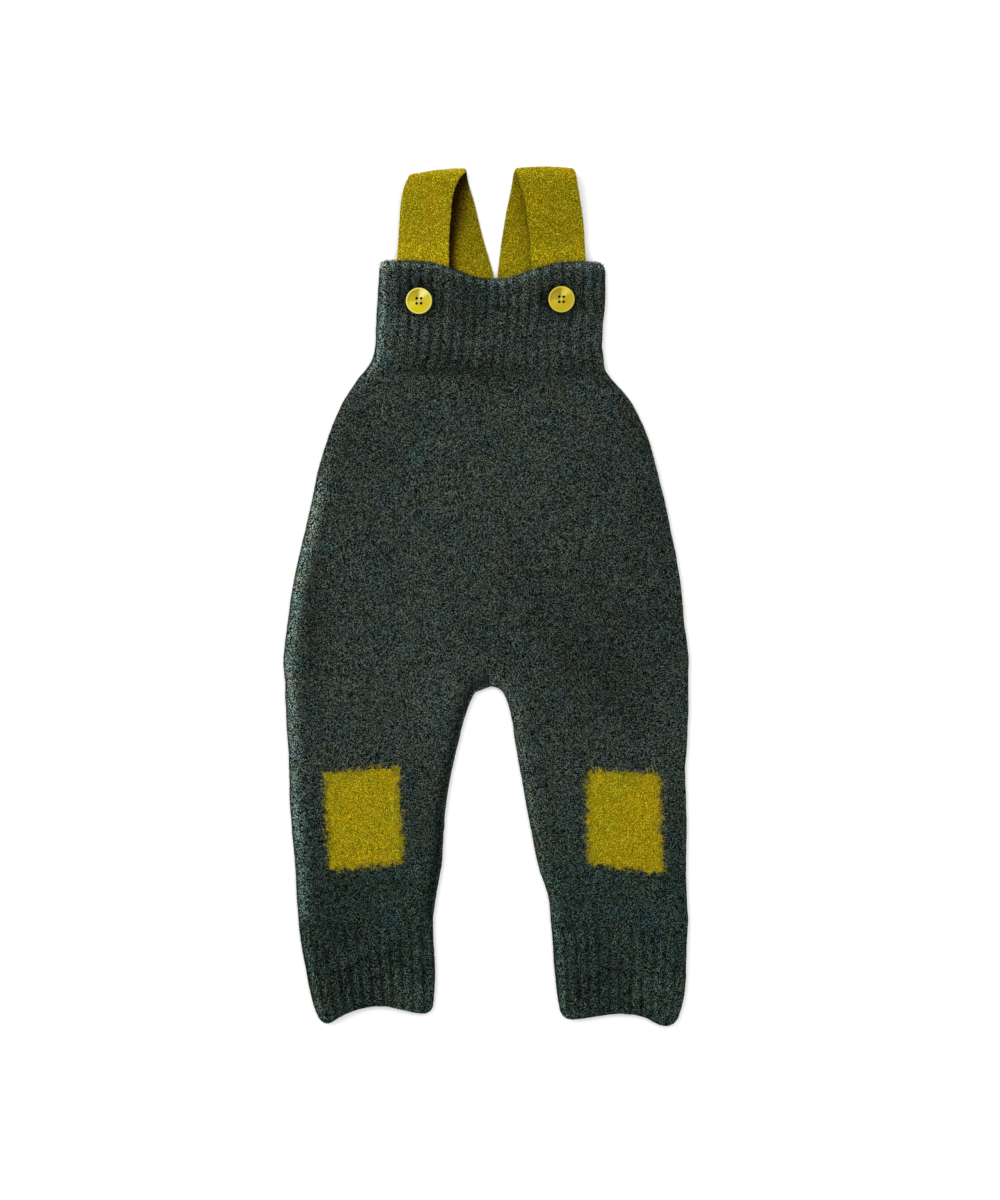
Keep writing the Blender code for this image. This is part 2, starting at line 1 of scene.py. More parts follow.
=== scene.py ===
"""Looks of the baby romper: dungarees in thick felted wool, laid flat and seen from straight above.

Each cloth solid of the frame is replaced by a finer shell of the same form, with soft creases, the
relief of the felted knit and a fuzz of loose fibres. The buttons are turned, dished and sewn on.

Sizes are in millimetres until place() or MM turns them into the frame's metres. x runs across the
garment, `up` from the lowest point of the hems towards the straps, z away from the floor. Left and
right are the picture's. A tone is a factor that a colour is multiplied by; besides the wool's own
changes, it often holds painted light and painted shade.
"""

import math
from collections import namedtuple

import bmesh
import bpy
import numpy as np
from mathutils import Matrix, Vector


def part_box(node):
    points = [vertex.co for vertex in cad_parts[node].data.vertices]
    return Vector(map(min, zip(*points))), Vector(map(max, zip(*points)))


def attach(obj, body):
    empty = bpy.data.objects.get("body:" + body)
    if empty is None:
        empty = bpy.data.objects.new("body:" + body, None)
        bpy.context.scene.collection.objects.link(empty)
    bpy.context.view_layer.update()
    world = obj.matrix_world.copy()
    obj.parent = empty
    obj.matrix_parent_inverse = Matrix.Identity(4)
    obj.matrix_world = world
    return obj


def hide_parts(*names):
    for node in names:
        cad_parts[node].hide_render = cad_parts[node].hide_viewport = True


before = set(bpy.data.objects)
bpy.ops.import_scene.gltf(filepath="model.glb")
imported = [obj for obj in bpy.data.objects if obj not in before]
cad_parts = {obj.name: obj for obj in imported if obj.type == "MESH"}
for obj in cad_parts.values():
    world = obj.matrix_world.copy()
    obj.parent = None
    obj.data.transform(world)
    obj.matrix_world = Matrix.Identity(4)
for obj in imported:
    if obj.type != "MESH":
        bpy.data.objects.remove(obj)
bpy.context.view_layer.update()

MM = 0.001
BODY = "root"


def rows_of(kind, *rows):
    """Table of named rows of numbers."""
    return [kind(*map(float, row)) for row in rows]


# Cloth, as in the solids
LENGTH = 557.5
WALL = 2.8
STRAP_WALL = 2.5
AIR = 0.6  # between the front and the back
SEAM = 0.3  # gap between two pieces that are joined
MIDDLE = WALL + AIR / 2
UNDER = WALL + AIR
EDGE = 6.0  # a wall rounds over to its side seam over this width
EDGE_STEPS = (0.0, 0.12, 0.35, 0.7, 1.2, 1.8, 2.5, 3.3, 4.2, 5.1, EDGE)
LIP = 2.5  # a free edge rounds off over this width
LIP_STEPS = (0.0, 0.08, 0.25, 0.5, 0.8, 1.15, 1.55, 2.0, LIP)
LIP_DROP = 0.55
LIP_RISE = 0.2
ROLL_HEIGHT = 0.8  # the front stands up in a soft roll along its side seams
ROLL_FROM_EDGE = 10.0
ROLL_WIDTH = 7.0

# Rows and columns of the meshes; pairs are for the back, which lies on the floor, and for the front
COARSE = 4  # the hidden inner side of a wall has one column and row for this many outer ones
LEG_ROWS = (64, 128)
TRUNK_ROWS = (80, 160)
HALF_COLUMNS = (40, 84)
BAND_ROWS = (32, 84)
BAND_COLUMNS = (60, 212)
CUFF_ROWS = 76
CUFF_COLUMNS = (100, 28)  # above and below
STRAP_ROWS = 20  # for each section
STRAP_COLUMNS = 30
CLOTH_SHARP = 60  # edges stay sharp from this angle on, in degrees
STRAP_SHARP = 70
BUTTON_SHARP = 45

# Ribs
RIB_RISE = 1.1
RIB_CREST = 0.62
RIB_FADE = 9.0
RIB_SWAY = 0.15  # how far a rib wanders, as a share of its width
RIB_SOFT = 0.35  # how much the height of a rib varies
RIB_WAVES = (11.0, 14.0)  # lengths over which it wanders and varies
RIB_SPREAD = 3.0  # how much wider than long such a stretch is
BREAK_LENGTH = 8.0  # the same for the stretches where the felt has closed a groove
BREAK_SPREAD = 2.0
BREAK_CONTRAST = 0.8

# Tones of the green wool: its own, and painted light and shade
BAND_RIB_SHADING = (0.05, 1.32)  # painted shade in the grooves between the ribs and painted light on top of them
# The same painted shade and light for the cuffs
CUFF_RIB_SHADING = (0.0, 1.3)
BROKEN_GROOVE_SHADE = 0.52  # lighter painted shade in a groove where the felt has closed it
LEG_TONE = (0.38, 0.77, 0.73)  # on the lower legs
LEG_TONE_UP = 85.0  # up to this height
LEG_TONE_FADE = 95.0  # and fading over this length
HOLLOW_SHADE = 0.2  # painted shade in a hollow and painted light on a rise, in powers of two for each millimetre
# Light that the pile catches beside an edge, as a share of the tone; it is darker there below 0
RIM_SIDE = -0.1  # at the right of a piece
RIM_BAND = 1.6  # at the left and the top of the bands
RIM_CUFF = 0.7  # at the left of the cuffs
RIM_SEAMS = (-0.65, 0.7)  # along the inseam, on the left leg and on the right one
RIM_LEFT = (  # at the left of the body: heights, and the light at each
    (60.0, 130.0, 170.0, 240.0, 335.0, 365.0, 425.0),
    (2.6, 2.6, 1.6, 2.6, 3.2, 0.8, 0.2),
)
RIM_INSIDE = 2.6  # distance from the edge where it is strongest
RIM_REACH = 4.6
RIM_TOP = 2.2  # at the top of the bands it is narrower by this factor

# Body sections, as in the solids; above the crotch, both halves end at the centre
CENTRE = 2.0
Section = namedtuple(
    "Section", "side_up left right inner_up left_inner right_inner", defaults=(CENTRE, CENTRE)
)
SECTIONS = rows_of(
    Section,
    (69, -122, 131.5, 69, -34.5, 42),
    (84.5, -123, 130.5, 84.5, -32.5, 40.5),
    (104, -124, 130, 104, -29, 34),
    (126, -126, 130.5, 126, -27.5, 29.5),
    (147, -127.5, 130, 147, -25.5, 25.5),
    (166, -128, 129.5, 167, -22, 22),
    (180.5, -128.5, 130.5, 184, -18, 19),
    (193.5, -129.5, 131, 198, -14.5, 17),
    (205, -130, 131.5, 208.5, -11, 14.5),
    (213, -130.5, 131.5, 215, -8, 12),
    (220.5, -130.5, 131.5, 219.5, -4.5, 8.5),
    (227, -131, 131.5, 221.5), (232.5, -131.5, 131.5, 225), (240, -131.5, 131.5, 231),
    (250, -130.5, 130.5, 240.5), (265, -128.5, 128.5, 257.5), (283.5, -126, 127, 279),
    (303, -122, 124, 301), (322.5, -117.5, 120, 322), (342, -113, 116, 342),
    (361.5, -109, 111, 361.5), (378.5, -104, 106.5, 378.5), (392.5, -99, 101, 392.5),
    (404.5, -93.5, 95, 404.5), (413.5, -88, 88, 413.5), (421, -83, 81, 421),
)
CUFF_TOP = SECTIONS[0].side_up
BAND_FOOT = SECTIONS[-1].side_up
CROTCH = next(i for i, row in enumerate(SECTIONS) if row.left_inner == row.right_inner)
CROTCH_UP = SECTIONS[CROTCH].inner_up
FAN = 60.0  # above the crotch, the columns spread evenly over this height

# Ribbed walls, as in the solids: sides, free edge and the height where they are joined on.
# Before the last two come the painted shade of their grooves and the painted light of their ribs.
# The last two are the light at their left and at their free edge. By default it is a cuff.
Sides = namedtuple("Sides", "up left right")
Rim = namedtuple("Rim", "x up")
Band = namedtuple(
    "Band",
    "sides rim corner end ribs seed tones lit lit_rim",
    defaults=(CUFF_TOP, 12, 43, CUFF_RIB_SHADING, RIM_CUFF, 0.0),
)
BIB = Band(
    rows_of(
        Sides,
        (421, -83, 81), (426.5, -78, 77.5), (433, -74, 76.5), (442.5, -72, 75.5),
        (455.5, -71.5, 76), (472, -70.5, 77.5), (488, -69.5, 77.5), (497, -69.5, 77.5),
    ),
    rows_of(
        Rim,
        (-69.5, 496.5), (-56, 496.5), (-40.5, 496), (-28.5, 493.5), (-17, 489.5), (-7, 486),
        (4, 485), (15, 485.5), (26, 489), (37.5, 493), (49.5, 495.5), (77.5, 495.5),
    ),
    corner=5.0,
    end=BAND_FOOT,
    ribs=21,
    seed=41,
    tones=BAND_RIB_SHADING,
    lit=RIM_BAND,
    lit_rim=RIM_BAND,
)
BACK_BAND_DROP = 5.0
CUFFS = {
    "cuff_left": Band(
        rows_of(
            Sides,
            (69, -122, -34.5), (52.5, -120, -34), (36.5, -117, -33), (23.5, -114.5, -33.5),
            (13.5, -112, -34.5), (1.5, -107, -36.5),
        ),
        rows_of(
            Rim,
            (-112, 1), (-101.5, 2), (-93.5, 6), (-80.5, 11), (-66.5, 13), (-54.5, 10.5), (-45, 8.5),
            (-34, 8),
        ),
        corner=5.0,
    ),
    "cuff_right": Band(
        rows_of(
            Sides,
            (69, 42, 131.5), (52.5, 43.5, 130.5), (36.5, 44.5, 130), (23.5, 46, 129.5),
            (13.5, 47.5, 127.5), (0, 50.5, 123),
        ),
        rows_of(
            Rim,
            (47, 4.5), (59, 4.5), (74, 6.5), (85, 8), (100, 6.5), (110, 2), (117, 0), (127, 0.5),
        ),
        corner=6.0,
    ),
}

# Straps, as in the solids, from the end behind the bib over the top to the back band
Across = namedtuple("Across", "left left_up left_z right right_up right_z")
STRAPS = {
    "strap_left": rows_of(
        Across,
        (-57, 449, 4.35, -23.5, 449, 4.35),
        (-57.5, 472, 4.35, -23.5, 472, 4.35),
        (-58, 494.5, 4.4, -24, 494, 4.4),
        (-57, 511, 5.2, -24, 511, 5.2),
        (-56, 526.5, 7.2, -23, 525, 7.2),
        (-54.5, 539, 9.4, -21.5, 540, 9.6),
        (-52.5, 546.5, 11, -18, 549, 11),
        (-50.5, 550.5, 10.2, -14.5, 554, 10.2),
        (-50, 551.5, 6.6, -13, 556, 6.8),
        (-49.5, 549.5, 2.9, -12.5, 554, 2.9),
        (-49, 544.5, 1.35, -11.5, 548, 1.35),
        (-42, 534.5, 1.25, -7.5, 534.5, 1.25),
        (-36, 514, 1.25, -2.5, 514, 1.25),
        (-29, 488, 1.25, 5, 488, 1.25),
    ),
    "strap_right": rows_of(
        Across,
        (33, 449, 4.35, 68, 449, 4.35),
        (31.5, 472, 4.35, 67, 472, 4.35),
        (29.5, 494, 4.4, 65, 495.5, 4.4),
        (28.5, 511, 5, 64, 511, 5),
        (27, 524, 6.4, 63, 524.5, 6.4),
        (25.5, 535.5, 8.2, 61, 537.5, 8.2),
        (23, 544.5, 9.8, 59.5, 546.5, 9.8),
        (21, 552, 9.4, 58.5, 553, 9.4),
        (19.5, 556, 6.2, 57, 556, 6.2),
        (18, 553.5, 2.7, 55.5, 553.5, 2.7),
        (17, 547.5, 1.35, 53.5, 548, 1.35),
        (14.5, 535, 1.25, 49.5, 535, 1.25),
        (11, 515.5, 1.25, 45, 515.5, 1.25),
        (7.5, 488, 1.25, 41, 488, 1.25),
    ),
}
BEHIND = 3  # sections that lie behind the bib
DRAPE = 12.0  # the bib comes down from a strap over this distance
STRAP_CLEAR = 0.35
STRAP_LIFT = WALL + SEAM + STRAP_WALL + STRAP_CLEAR - UNDER
STRAP_EDGE = 1.5
STRAP_EDGE_STEPS = (0.0, 0.1, 0.3, 0.6, 1.0, STRAP_EDGE)
STRAP_EDGE_WALL = 0.35  # share of the wall that is left at a strap's side
STRAP_RELIEF = 0.8  # share of the felt's relief
TURN_ROW = 8.0  # the strap's section at the very top, where its fold bulges a little
TURN_REACH = 1.6
TURN_BULGE = 1.1
# Reach and depth of the painted shade inside a fold, tone of the strap, and tone of what is inside
# its fold
Fold = namedtuple("Fold", "reach depth tone inside")
FOLDS = {"strap_left": Fold(10.5, 1.0, 1.02, 0.66), "strap_right": Fold(7.0, 0.12, 0.82, 0.98)}
# Colour of the painted shade inside a fold
FOLD_SHADE_COLOUR = (0.10, 0.05, 0.2)
FOLD_START = 0.4  # the inside of a fold starts this many sections after the turn
FOLD_REACH_LOW = 5.0  # reach of the shade up to FOLD_LOW; it has its full reach FOLD_RISE above
FOLD_LOW = 495.0
FOLD_RISE = 45.0
# Painted light on both straps, at the turn, just above the bib and at the lower end behind:
# the section at their middle, their reach and their strength
PAINTED_STRAP_LIGHTS = ((7.7, 0.8, 0.4), (2.3, 0.5, 0.28), (12.9, 0.4, 0.2))

# Buttons
BUTTONS = {"button_left": (-43.5, 471.0), "button_right": (49.0, 472.0)}
BUTTON_TONES = {"button_left": (0.83, 0.81, 0.6), "button_right": (0.66, 0.61, 0.16)}
Turn = namedtuple("Turn", "radius height")
BUTTON_PROFILE = rows_of(
    Turn,
    (0, 0), (6, 0), (7.3, 0.25), (8.3, 0.9), (8.85, 1.6), (8.9, 2), (8.75, 2.4), (8.4, 2.72),
    (8, 2.8), (7.65, 2.7), (7.2, 2.42), (6.4, 2.1), (5.2, 1.82), (3.6, 1.68), (2.6, 1.62), (0, 1.6),
)
BUTTON_SCALE = 0.955  # they are drawn this much smaller than in the solids
BUTTON_STEPS = 5
BUTTON_SIDES = 96
HOLE_RADIUS = 0.9
HOLE_SIDES = 20
HOLE_PLACES = [(x, y) for x in (-1.4, 1.4) for y in (-1.6, 1.6)]
DRILL_LENGTH = 9.0
PULL_RADIUS = 13.0  # the sewn button pulls the band down around itself
PULL_DEPTH = 0.8
THREAD_RADIUS = 0.2
THREAD_LOW = 0.9
STITCH_REACH = 0.95  # half of a stitch's run across
STITCHES = ((-1.1, 1.9), (1.1, 2.25))  # y of its left end and height of its middle
STITCH_POINTS = 13
STRAND_ASIDE = 0.18 / 4.2  # its two strands lie this share of its run to either side

# Knee fields, knitted in: their corners, lower left first and then anticlockwise
KNEES = (
    ((-101.5, 101.3), (-53.5, 106.3), (-57.5, 168.5), (-105.5, 164.5)),
    ((66.5, 105.8), (115.0, 99.8), (113.0, 163.7), (66.0, 166.2)),
)
FAR = 99.0  # distance from the knee fields beyond which nothing changes

# Soft creases: a trough has a negative depth. The angle is from x, in degrees.
Crease = namedtuple("Crease", "x up length width depth angle")
CREASES = rows_of(
    Crease,
    (-39, 426, 50, 6, -0.8, 5), (4, 425, 46, 8, -1.1, 0), (33, 417, 42, 7, -0.7, 8),
    (61, 431, 30, 7, -0.7, 20), (-13, 475, 24, 11, -1.1, -65), (43, 487, 22, 7, -0.5, 10),
    (-111, 250, 95, 8, -0.9, 86), (112, 262, 90, 9, -0.6, 96), (77, 225, 88, 15, -1, -47),
    (104, 190, 50, 10, -0.6, -70), (-22, 318, 30, 8, -0.6, -25), (30, 296, 42, 9, -0.5, 20),
    (5, 264, 38, 10, -0.7, 15), (-28, 216, 40, 9, 0.9, 66), (24, 222, 34, 9, 0.5, 112),
    (-60, 236, 44, 12, 0.5, 30), (-92, 188, 34, 9, -0.5, 12), (-96, 80, 60, 12, -0.8, 82),
    (-70, 92, 34, 8, -0.5, -20), (74, 84, 40, 9, -0.6, 25), (100, 58, 44, 10, 0.5, 70),
    (78, 26, 30, 11, -0.7, 80), (-55, 40, 36, 9, 0.5, 60), (60, 350, 60, 12, -0.4, 35),
    (-70, 352, 56, 12, 0.45, -30),
)
CREASE_WAVE = 22.0  # length over which a crease sways
CREASE_BEND = 0.35  # and how far, as a share of its width
# Stretches that are darker or lighter, in powers of two, over a reach along x and up: partly
# painted shade and light of soft folds and hollows, partly the wool's own uneven tone
Shade = namedtuple("Shade", "x up reach_x reach_up strength")
SHADES = rows_of(
    Shade,
    (85, 222, 42, 40, -0.3), (64, 275, 45, 35, -0.34), (35, 235, 30, 25, -0.15),
    (98, 335, 30, 60, -0.24), (5, 427, 17, 6, -0.5), (-40, 428, 40, 6, -0.08),
    (45, 424, 40, 7, -0.18), (-10, 478, 13, 17, -0.4), (-97, 391, 14, 18, -0.3),
    (106, 394, 12, 20, -0.3), (-60, 225, 40, 40, 0.1), (-30, 205, 20, 30, 0.15),
    (-92, 44, 25, 30, -0.12), (80, 36, 30, 22, -0.22), (-50, 68, 22, 55, 0.18),
    (62, 78, 24, 45, 0.15), (112, 58, 20, 45, 0.25), (-55, 456, 14, 16, 0.25),
    (-113, 255, 8, 65, -0.4), (-84, 9, 22, 6, -0.3), (-47, 16, 15, 16, 0.6), (116, 20, 18, 26, 0.4),
    (62, 52, 28, 26, 0.3), (-45, 100, 9, 20, 0.3), (95, 288, 40, 14, 0.15),
)
SWELLS = ((46.0, 0.55), (17.0, 0.3))  # size and height of the cloth's soft unevenness
FELT = ((5.2, 0.17), (2.6, 0.12))  # the same for the felted stitches
CREASE_SEED, FELT_SEED, SWELL_SEED, BREAK_SEED = 5, 11, 21, 47

# Colours, linear: (darkest strands, middle, lightest strands), and the tones of its patches
Wool = namedtuple("Wool", "dark middle light patches")
GREEN = Wool(
    (0.0002, 0.0005, 0.0004),
    (0.0042, 0.0064, 0.0055),
    (0.170, 0.222, 0.198),
    ((0.76, 1.03, 1.12), (0.98, 1.0, 1.0), (1.01, 1.03, 0.86), (1.34, 0.98, 0.92)),
)
MUSTARD = Wool(
    (0.232, 0.170, 0.0020),
    (0.396, 0.303, 0.0052),
    (0.84, 0.685, 0.018),
    ((0.84, 0.96, 1.1), (0.98, 1.0, 1.0), (1.05, 1.0, 0.8), (1.14, 0.95, 0.7)),
)
STRAND_STOPS = (0.12, 0.42, 1.0)
PATCH_STOPS = (0.3, 0.47, 0.6, 0.72)
PATCH = 17.0  # size of the patches
GRAIN = 0.74  # size of the salt-and-pepper grain of the wool
GRAIN_CONTRAST = 10.0
GRAIN_LEVEL = -5.18
STRAND = 1.6  # distance between the loose strands that show
# Two layers of them: their offset in metres and their scale
STROKES = (((0.0, 0.0, 0.0), 1.0), ((0.031, 0.057, 0.013), 0.8))
STROKE_WIDTH = 0.1
STROKE_LIGHT = 0.8
STROKE_STRETCH = 1.7
GREY_FROM = 0.2  # up to this level, a strand of the green wool takes the whole hue of a tone
GREY_SHARE = 0.8  # share of grey in the tone of the lightest ones
TEETH_SIZE = 3.6  # the edge of a knee field steps from stitch to stitch
TEETH = 7.0  # depth of the steps
TEETH_SOFT = 0.35
BUMP_STRENGTH = 0.9
BUMP_HEIGHT = 0.6
NOISE_TURN = (0.6, 0.45, 0.8)
WOOL_FINISH = {
    "Roughness": 0.92,
    "Specular IOR Level": 0.0,
    "Sheen Weight": 0.015,
    "Sheen Roughness": 0.45,
    "Sheen Tint": (0.8, 0.85, 0.78, 1.0),
}

# Fuzz: the number of fibres, the seed of their places, and their shortest and longest length
Fibres = namedtuple("Fibres", "count seed length")
FUZZ = {
    "front_body_fuzz": Fibres(30000, 1, (2.2, 5.5)),
    "front_legs_fuzz": Fibres(26000, 2, (2.2, 5.5)),
    "bib_fuzz": Fibres(11000, 3, (1.3, 3.2)),
    "bib_rim_fuzz": Fibres(3600, 9, (0.8, 2.3)),
    "cuff_left_cloth_fuzz": Fibres(6500, 4, (1.3, 3.2)),
    "cuff_right_cloth_fuzz": Fibres(6500, 5, (1.3, 3.2)),
    "strap_left_cloth_fuzz": Fibres(6500, 6, (2.2, 5.5)),
    "strap_right_cloth_fuzz": Fibres(6500, 7, (2.2, 5.5)),
}
FIBRE_WIDTH = 0.23
FIBRE_WIDTHS = (0.6, 1.3)
FIBRE_LIFT = 0.45  # the most that its middle is lifted
FIBRE_CURL = 0.45
FIBRE_BEND = 0.12  # share of the curl at a fibre's middle
FIBRE_CLEAR = (0.12, 0.05)  # height of its middle and its tip over the felt, without the lift
FIBRE_TIPS = (-0.4, 1.6)  # lift of its tip, as a share of that of its middle
FIBRE_ROOT = 0.15  # depth of its root, and least height over the floor
STEEP_COUNT = 0.35  # where the cloth is upright, fibres are fewer and shorter by these factors
STEEP_LENGTH = 0.2
HALO = 0.8  # how far the fibres may reach past the outline
STRAND_MIDDLE, STRAND_SPREAD = 0.40, 0.2
BRIGHT_SHARE = 0.22
BRIGHT = (0.7, 1.0)
THIRD = 2.0944  # a third of a turn, in radians
KNEE_BORDER = 2.2  # fibres are denser beside the edges of the knee fields
KNEE_FUZZ = 3.0
RIM_FUZZ = 1.6  # distance from the bib's top edge at which fibres start that stand out over it
RIM_DRIFT = np.array([0.0, 1.0, 0.1])

# Horn: its tones round a button, from nine o'clock anticlockwise. Over the horn's own changing
# tone they hold painted reflections, in the pale wedge near one o'clock and the light streak just
# below nine, and painted shade in the darker sector from twelve to nine
HORN_AND_REFLECTION_SECTORS = (
    (0.0, (0.50, 0.40, 0.01)),
    (0.05, (0.60, 0.50, 0.03)),
    (0.16, (0.53, 0.44, 0.001)),
    (0.45, (0.48, 0.38, 0.002)),
    (0.58, (0.50, 0.42, 0.03)),
    (0.67, (0.76, 0.71, 0.34)),
    (0.735, (0.66, 0.60, 0.21)),
    (0.775, (0.36, 0.27, 0.002)),
    (0.95, (0.42, 0.32, 0.002)),
)
HORN_CLOUDS = 6.0
HORN_SWAY = 0.12  # how far the clouds shift the sectors, in turns
# Painted highlight all round the rim, between two radii and at most this share of the colour
HORN_RIM_HIGHLIGHT = (0.76, 0.69, 0.20)
RIM_HIGHLIGHT_FROM, RIM_HIGHLIGHT_TO, RIM_HIGHLIGHT_SHARE = 7.55, 7.8, 0.8
HOLE_SHADE = (0.035, 0.014, 0.003)
HOLE_SOFT = 1.08
HORN_FINISH = {"Roughness": 0.28, "Specular IOR Level": 0.15}
THREAD_STOPS = ((0.3, (0.42, 0.34, 0.06)), (0.7, (0.62, 0.54, 0.18)))
THREAD_TWIST = 0.5
THREAD_FINISH = {"Roughness": 0.7}

# Studio: lengths of the floor and the lights are in metres
PICTURE_MIDDLE = (9.1, 276.9)
PICTURE_HEIGHT = 780.0
LENS, SENSOR = 200.0, 36.0
CLIP_START, CLIP_END = 0.05, 20.0
FLOOR_REACH, FLOOR_LEVEL = 4.0, -0.0003
FLOOR_FINISH = {"Base Color": (0.93, 0.93, 0.925, 1.0), "Roughness": 0.9, "Specular IOR Level": 0.1}
Light = namedtuple("Light", "name location size energy colour")
LIGHTS = (
    Light("key", (-2.0, 1.3, 2.4), 3.0, 62.0, (1.0, 0.99, 0.97)),
    Light("fill", (1.2, 0.2, 3.0), 2.0, 24.0, (0.97, 0.985, 1.0)),
)


# Small mathematics on arrays


def blend(a, b, share):
    return a + (b - a) * share


def quarter(share):
    share = np.clip(share, 0.0, 1.0)
    return np.sqrt(1.0 - (1.0 - share) ** 2)


def ease(share):
    share = np.clip(share, 0.0, 1.0)
    return share * share * (3.0 - 2.0 * share)


def column(table, name):
    return np.array([getattr(row, name) for row in table])


def unit(vectors):
    return vectors / np.maximum(np.linalg.norm(vectors, axis=-1, keepdims=True), 1e-9)


def smooth(keys, values, at):
    """Smooth curve through values at rising or falling keys, level beyond its ends."""
    if keys[0] > keys[-1]:
        keys, values = keys[::-1], values[::-1]
    at = np.clip(at, keys[0], keys[-1])
    last = len(keys) - 1
    i = np.clip(np.searchsorted(keys, at, side="right") - 1, 0, last - 1)
    numbers = np.arange(last + 1)
    low, high = np.maximum(numbers - 1, 0), np.minimum(numbers + 1, last)
    slopes = (values[high] - values[low]) / (keys[high] - keys[low])
    step = keys[i + 1] - keys[i]
    share = (at - keys[i]) / step
    square, cube = share**2, share**3
    return (
        (2 * cube - 3 * square + 1) * values[i]
        + (cube - 2 * square + share) * slopes[i] * step
        + (3 * square - 2 * cube) * values[i + 1]
        + (cube - square) * slopes[i + 1] * step
    )


def side_at(table, side, up):
    return smooth(column(table, "up"), column(table, side), up)


def rim_at(table, x):
    return smooth(column(table, "x"), column(table, "up"), x)


def noise(points, size, seed):
    """Smooth random lumps from -1 to 1, about `size` apart."""
    random = np.random.default_rng(seed)
    values = random.uniform(-1.0, 1.0, 4096)
    at = np.asarray(points) / size + random.uniform(50.0, 90.0, points.shape[-1])
    cell = np.floor(at).astype(np.int64)
    part = at - cell
    part = part * part * (3.0 - 2.0 * part)
    total = np.zeros(points.shape[:-1])
    primes = (73856093, 19349663, 83492791)
    axes = points.shape[-1]
    for corner in np.ndindex(*(2,) * axes):
        number = np.zeros(points.shape[:-1], np.int64)
        weight = np.ones(points.shape[:-1])
        for axis, step in enumerate(corner):
            number ^= (cell[..., axis] + step) * primes[axis]
            weight = weight * (part[..., axis] if step else 1.0 - part[..., axis])
        total += values[(number ^ (number >> 7)) % len(values)] * weight
    return total


def distance_to(line, points):
    """Distance from each point to a line of points, in the plane."""
    flat = points.reshape(-1, 2)
    start, along = line[:-1], line[1:] - line[:-1]
    square = (along**2).sum(axis=1)
    nearest = np.empty(len(flat))
    chunk = 4000
    for first in range(0, len(flat), chunk):
        away = flat[first : first + chunk, None, :] - start
        share = np.clip((away * along).sum(axis=2) / square, 0.0, 1.0)
        away -= share[:, :, None] * along
        nearest[first : first + chunk] = np.sqrt((away**2).sum(axis=2).min(axis=1))
    return nearest.reshape(points.shape[:-1])


def corner_cut(distance, radius):
    inside = np.clip(radius - distance, 0.0, radius)
    return radius - np.sqrt(radius**2 - inside**2)


def across(width, between):
    """Distances of the columns from one side to the other, close together near both."""
    steps = np.array(EDGE_STEPS)
    width = np.asarray(width)[..., None]
    inside = blend(EDGE, width - EDGE, np.linspace(0.0, 1.0, between + 1)[1:-1])
    left = np.broadcast_to(steps, width.shape[:-1] + steps.shape)
    return np.concatenate([left, inside, width - left[..., ::-1]], axis=-1)


# The form of the cloth


def creases(x, up):
    total = np.zeros(np.shape(x))
    for crease in CREASES:
        angle = math.radians(crease.angle)
        along = (x - crease.x) * math.cos(angle) + (up - crease.up) * math.sin(angle)
        beside = (up - crease.up) * math.cos(angle) - (x - crease.x) * math.sin(angle)
        where = np.stack([along, np.full_like(along, crease.x)], axis=-1)
        beside = beside + noise(where, CREASE_WAVE, CREASE_SEED) * crease.width * CREASE_BEND
        reach = crease.length / 2
        shape = np.exp(-((along / reach) ** 4)) * np.exp(-((beside / crease.width) ** 2))
        total += crease.depth * shape
    return total


def relief(points):
    """How far the felted surface stands out from the smooth form."""
    total = np.zeros(len(points))
    for number, (size, height) in enumerate(FELT):
        total += height * noise(points, size, FELT_SEED + number)
    return total


def swell(x, up):
    """Height of the creases and of the cloth's unevenness."""
    where = np.stack([x, up], axis=-1)
    total = creases(x, up)
    for number, (size, height) in enumerate(SWELLS):
        total = total + height * noise(where, size, SWELL_SEED + number)
    return total


def lip(distance):
    return WALL * (1.0 - quarter(distance / LIP))


def rib(count, x, up, seed):
    """Height of the ribs, `count` ribs along; they wander and vary as felted ones do."""
    where = np.stack([x / RIB_SPREAD, up], axis=-1)
    count = count + RIB_SWAY * noise(where, RIB_WAVES[0], seed)
    ends = np.abs(np.sin(math.pi * count)) ** RIB_CREST
    return ends * (1.0 - RIB_SOFT * (0.5 + 0.5 * noise(where, RIB_WAVES[1], seed + 1)))


def heights(upper, distance, lost, ribs, over_strap, uneven):
    """Heights of the outer and the inner face of a wall, this far inside its side seam."""
    roll = ROLL_HEIGHT * np.exp(-(((distance - ROLL_FROM_EDGE) / ROLL_WIDTH) ** 2))
    under = UNDER + blend(roll, STRAP_LIFT, over_strap)
    top = under + WALL + RIB_RISE * ribs + uneven - LIP_DROP * lost
    outer = np.where(upper, top, 0.0)
    inner = np.where(upper, under + LIP_RISE * lost, WALL - LIP_RISE * lost)
    return outer, inner


def wall_points(x, up, inward, distance, upper, lost=0.0, ribs=0.0, over_strap=0.0):
    """Outer and inner points of a panel, which rounds over to its side seam at MIDDLE."""
    uneven = swell(x, up) * ease(distance / EDGE)
    outer_z, inner_z = heights(upper, distance, lost, ribs, over_strap, uneven)
    round_over = quarter(distance / EDGE)
    inset = WALL * np.clip(1.0 - distance / EDGE, 0.0, 1.0)
    outer = np.stack([x, up, blend(MIDDLE, outer_z, round_over)], axis=-1)
    inner = np.stack([x + inward * inset, up, blend(MIDDLE, inner_z, round_over)], axis=-1)
    return outer.reshape(-1, 3), inner.reshape(-1, 3)


def place(points):
    return (np.asarray(points) - (0.0, LENGTH / 2, 0.0)) * MM


# Meshes


def quads(grid):
    """Faces of a grid of point numbers."""
    corners = (grid[:-1, :-1], grid[:-1, 1:], grid[1:, 1:], grid[1:, :-1])
    return np.stack([corner.ravel() for corner in corners], axis=1)


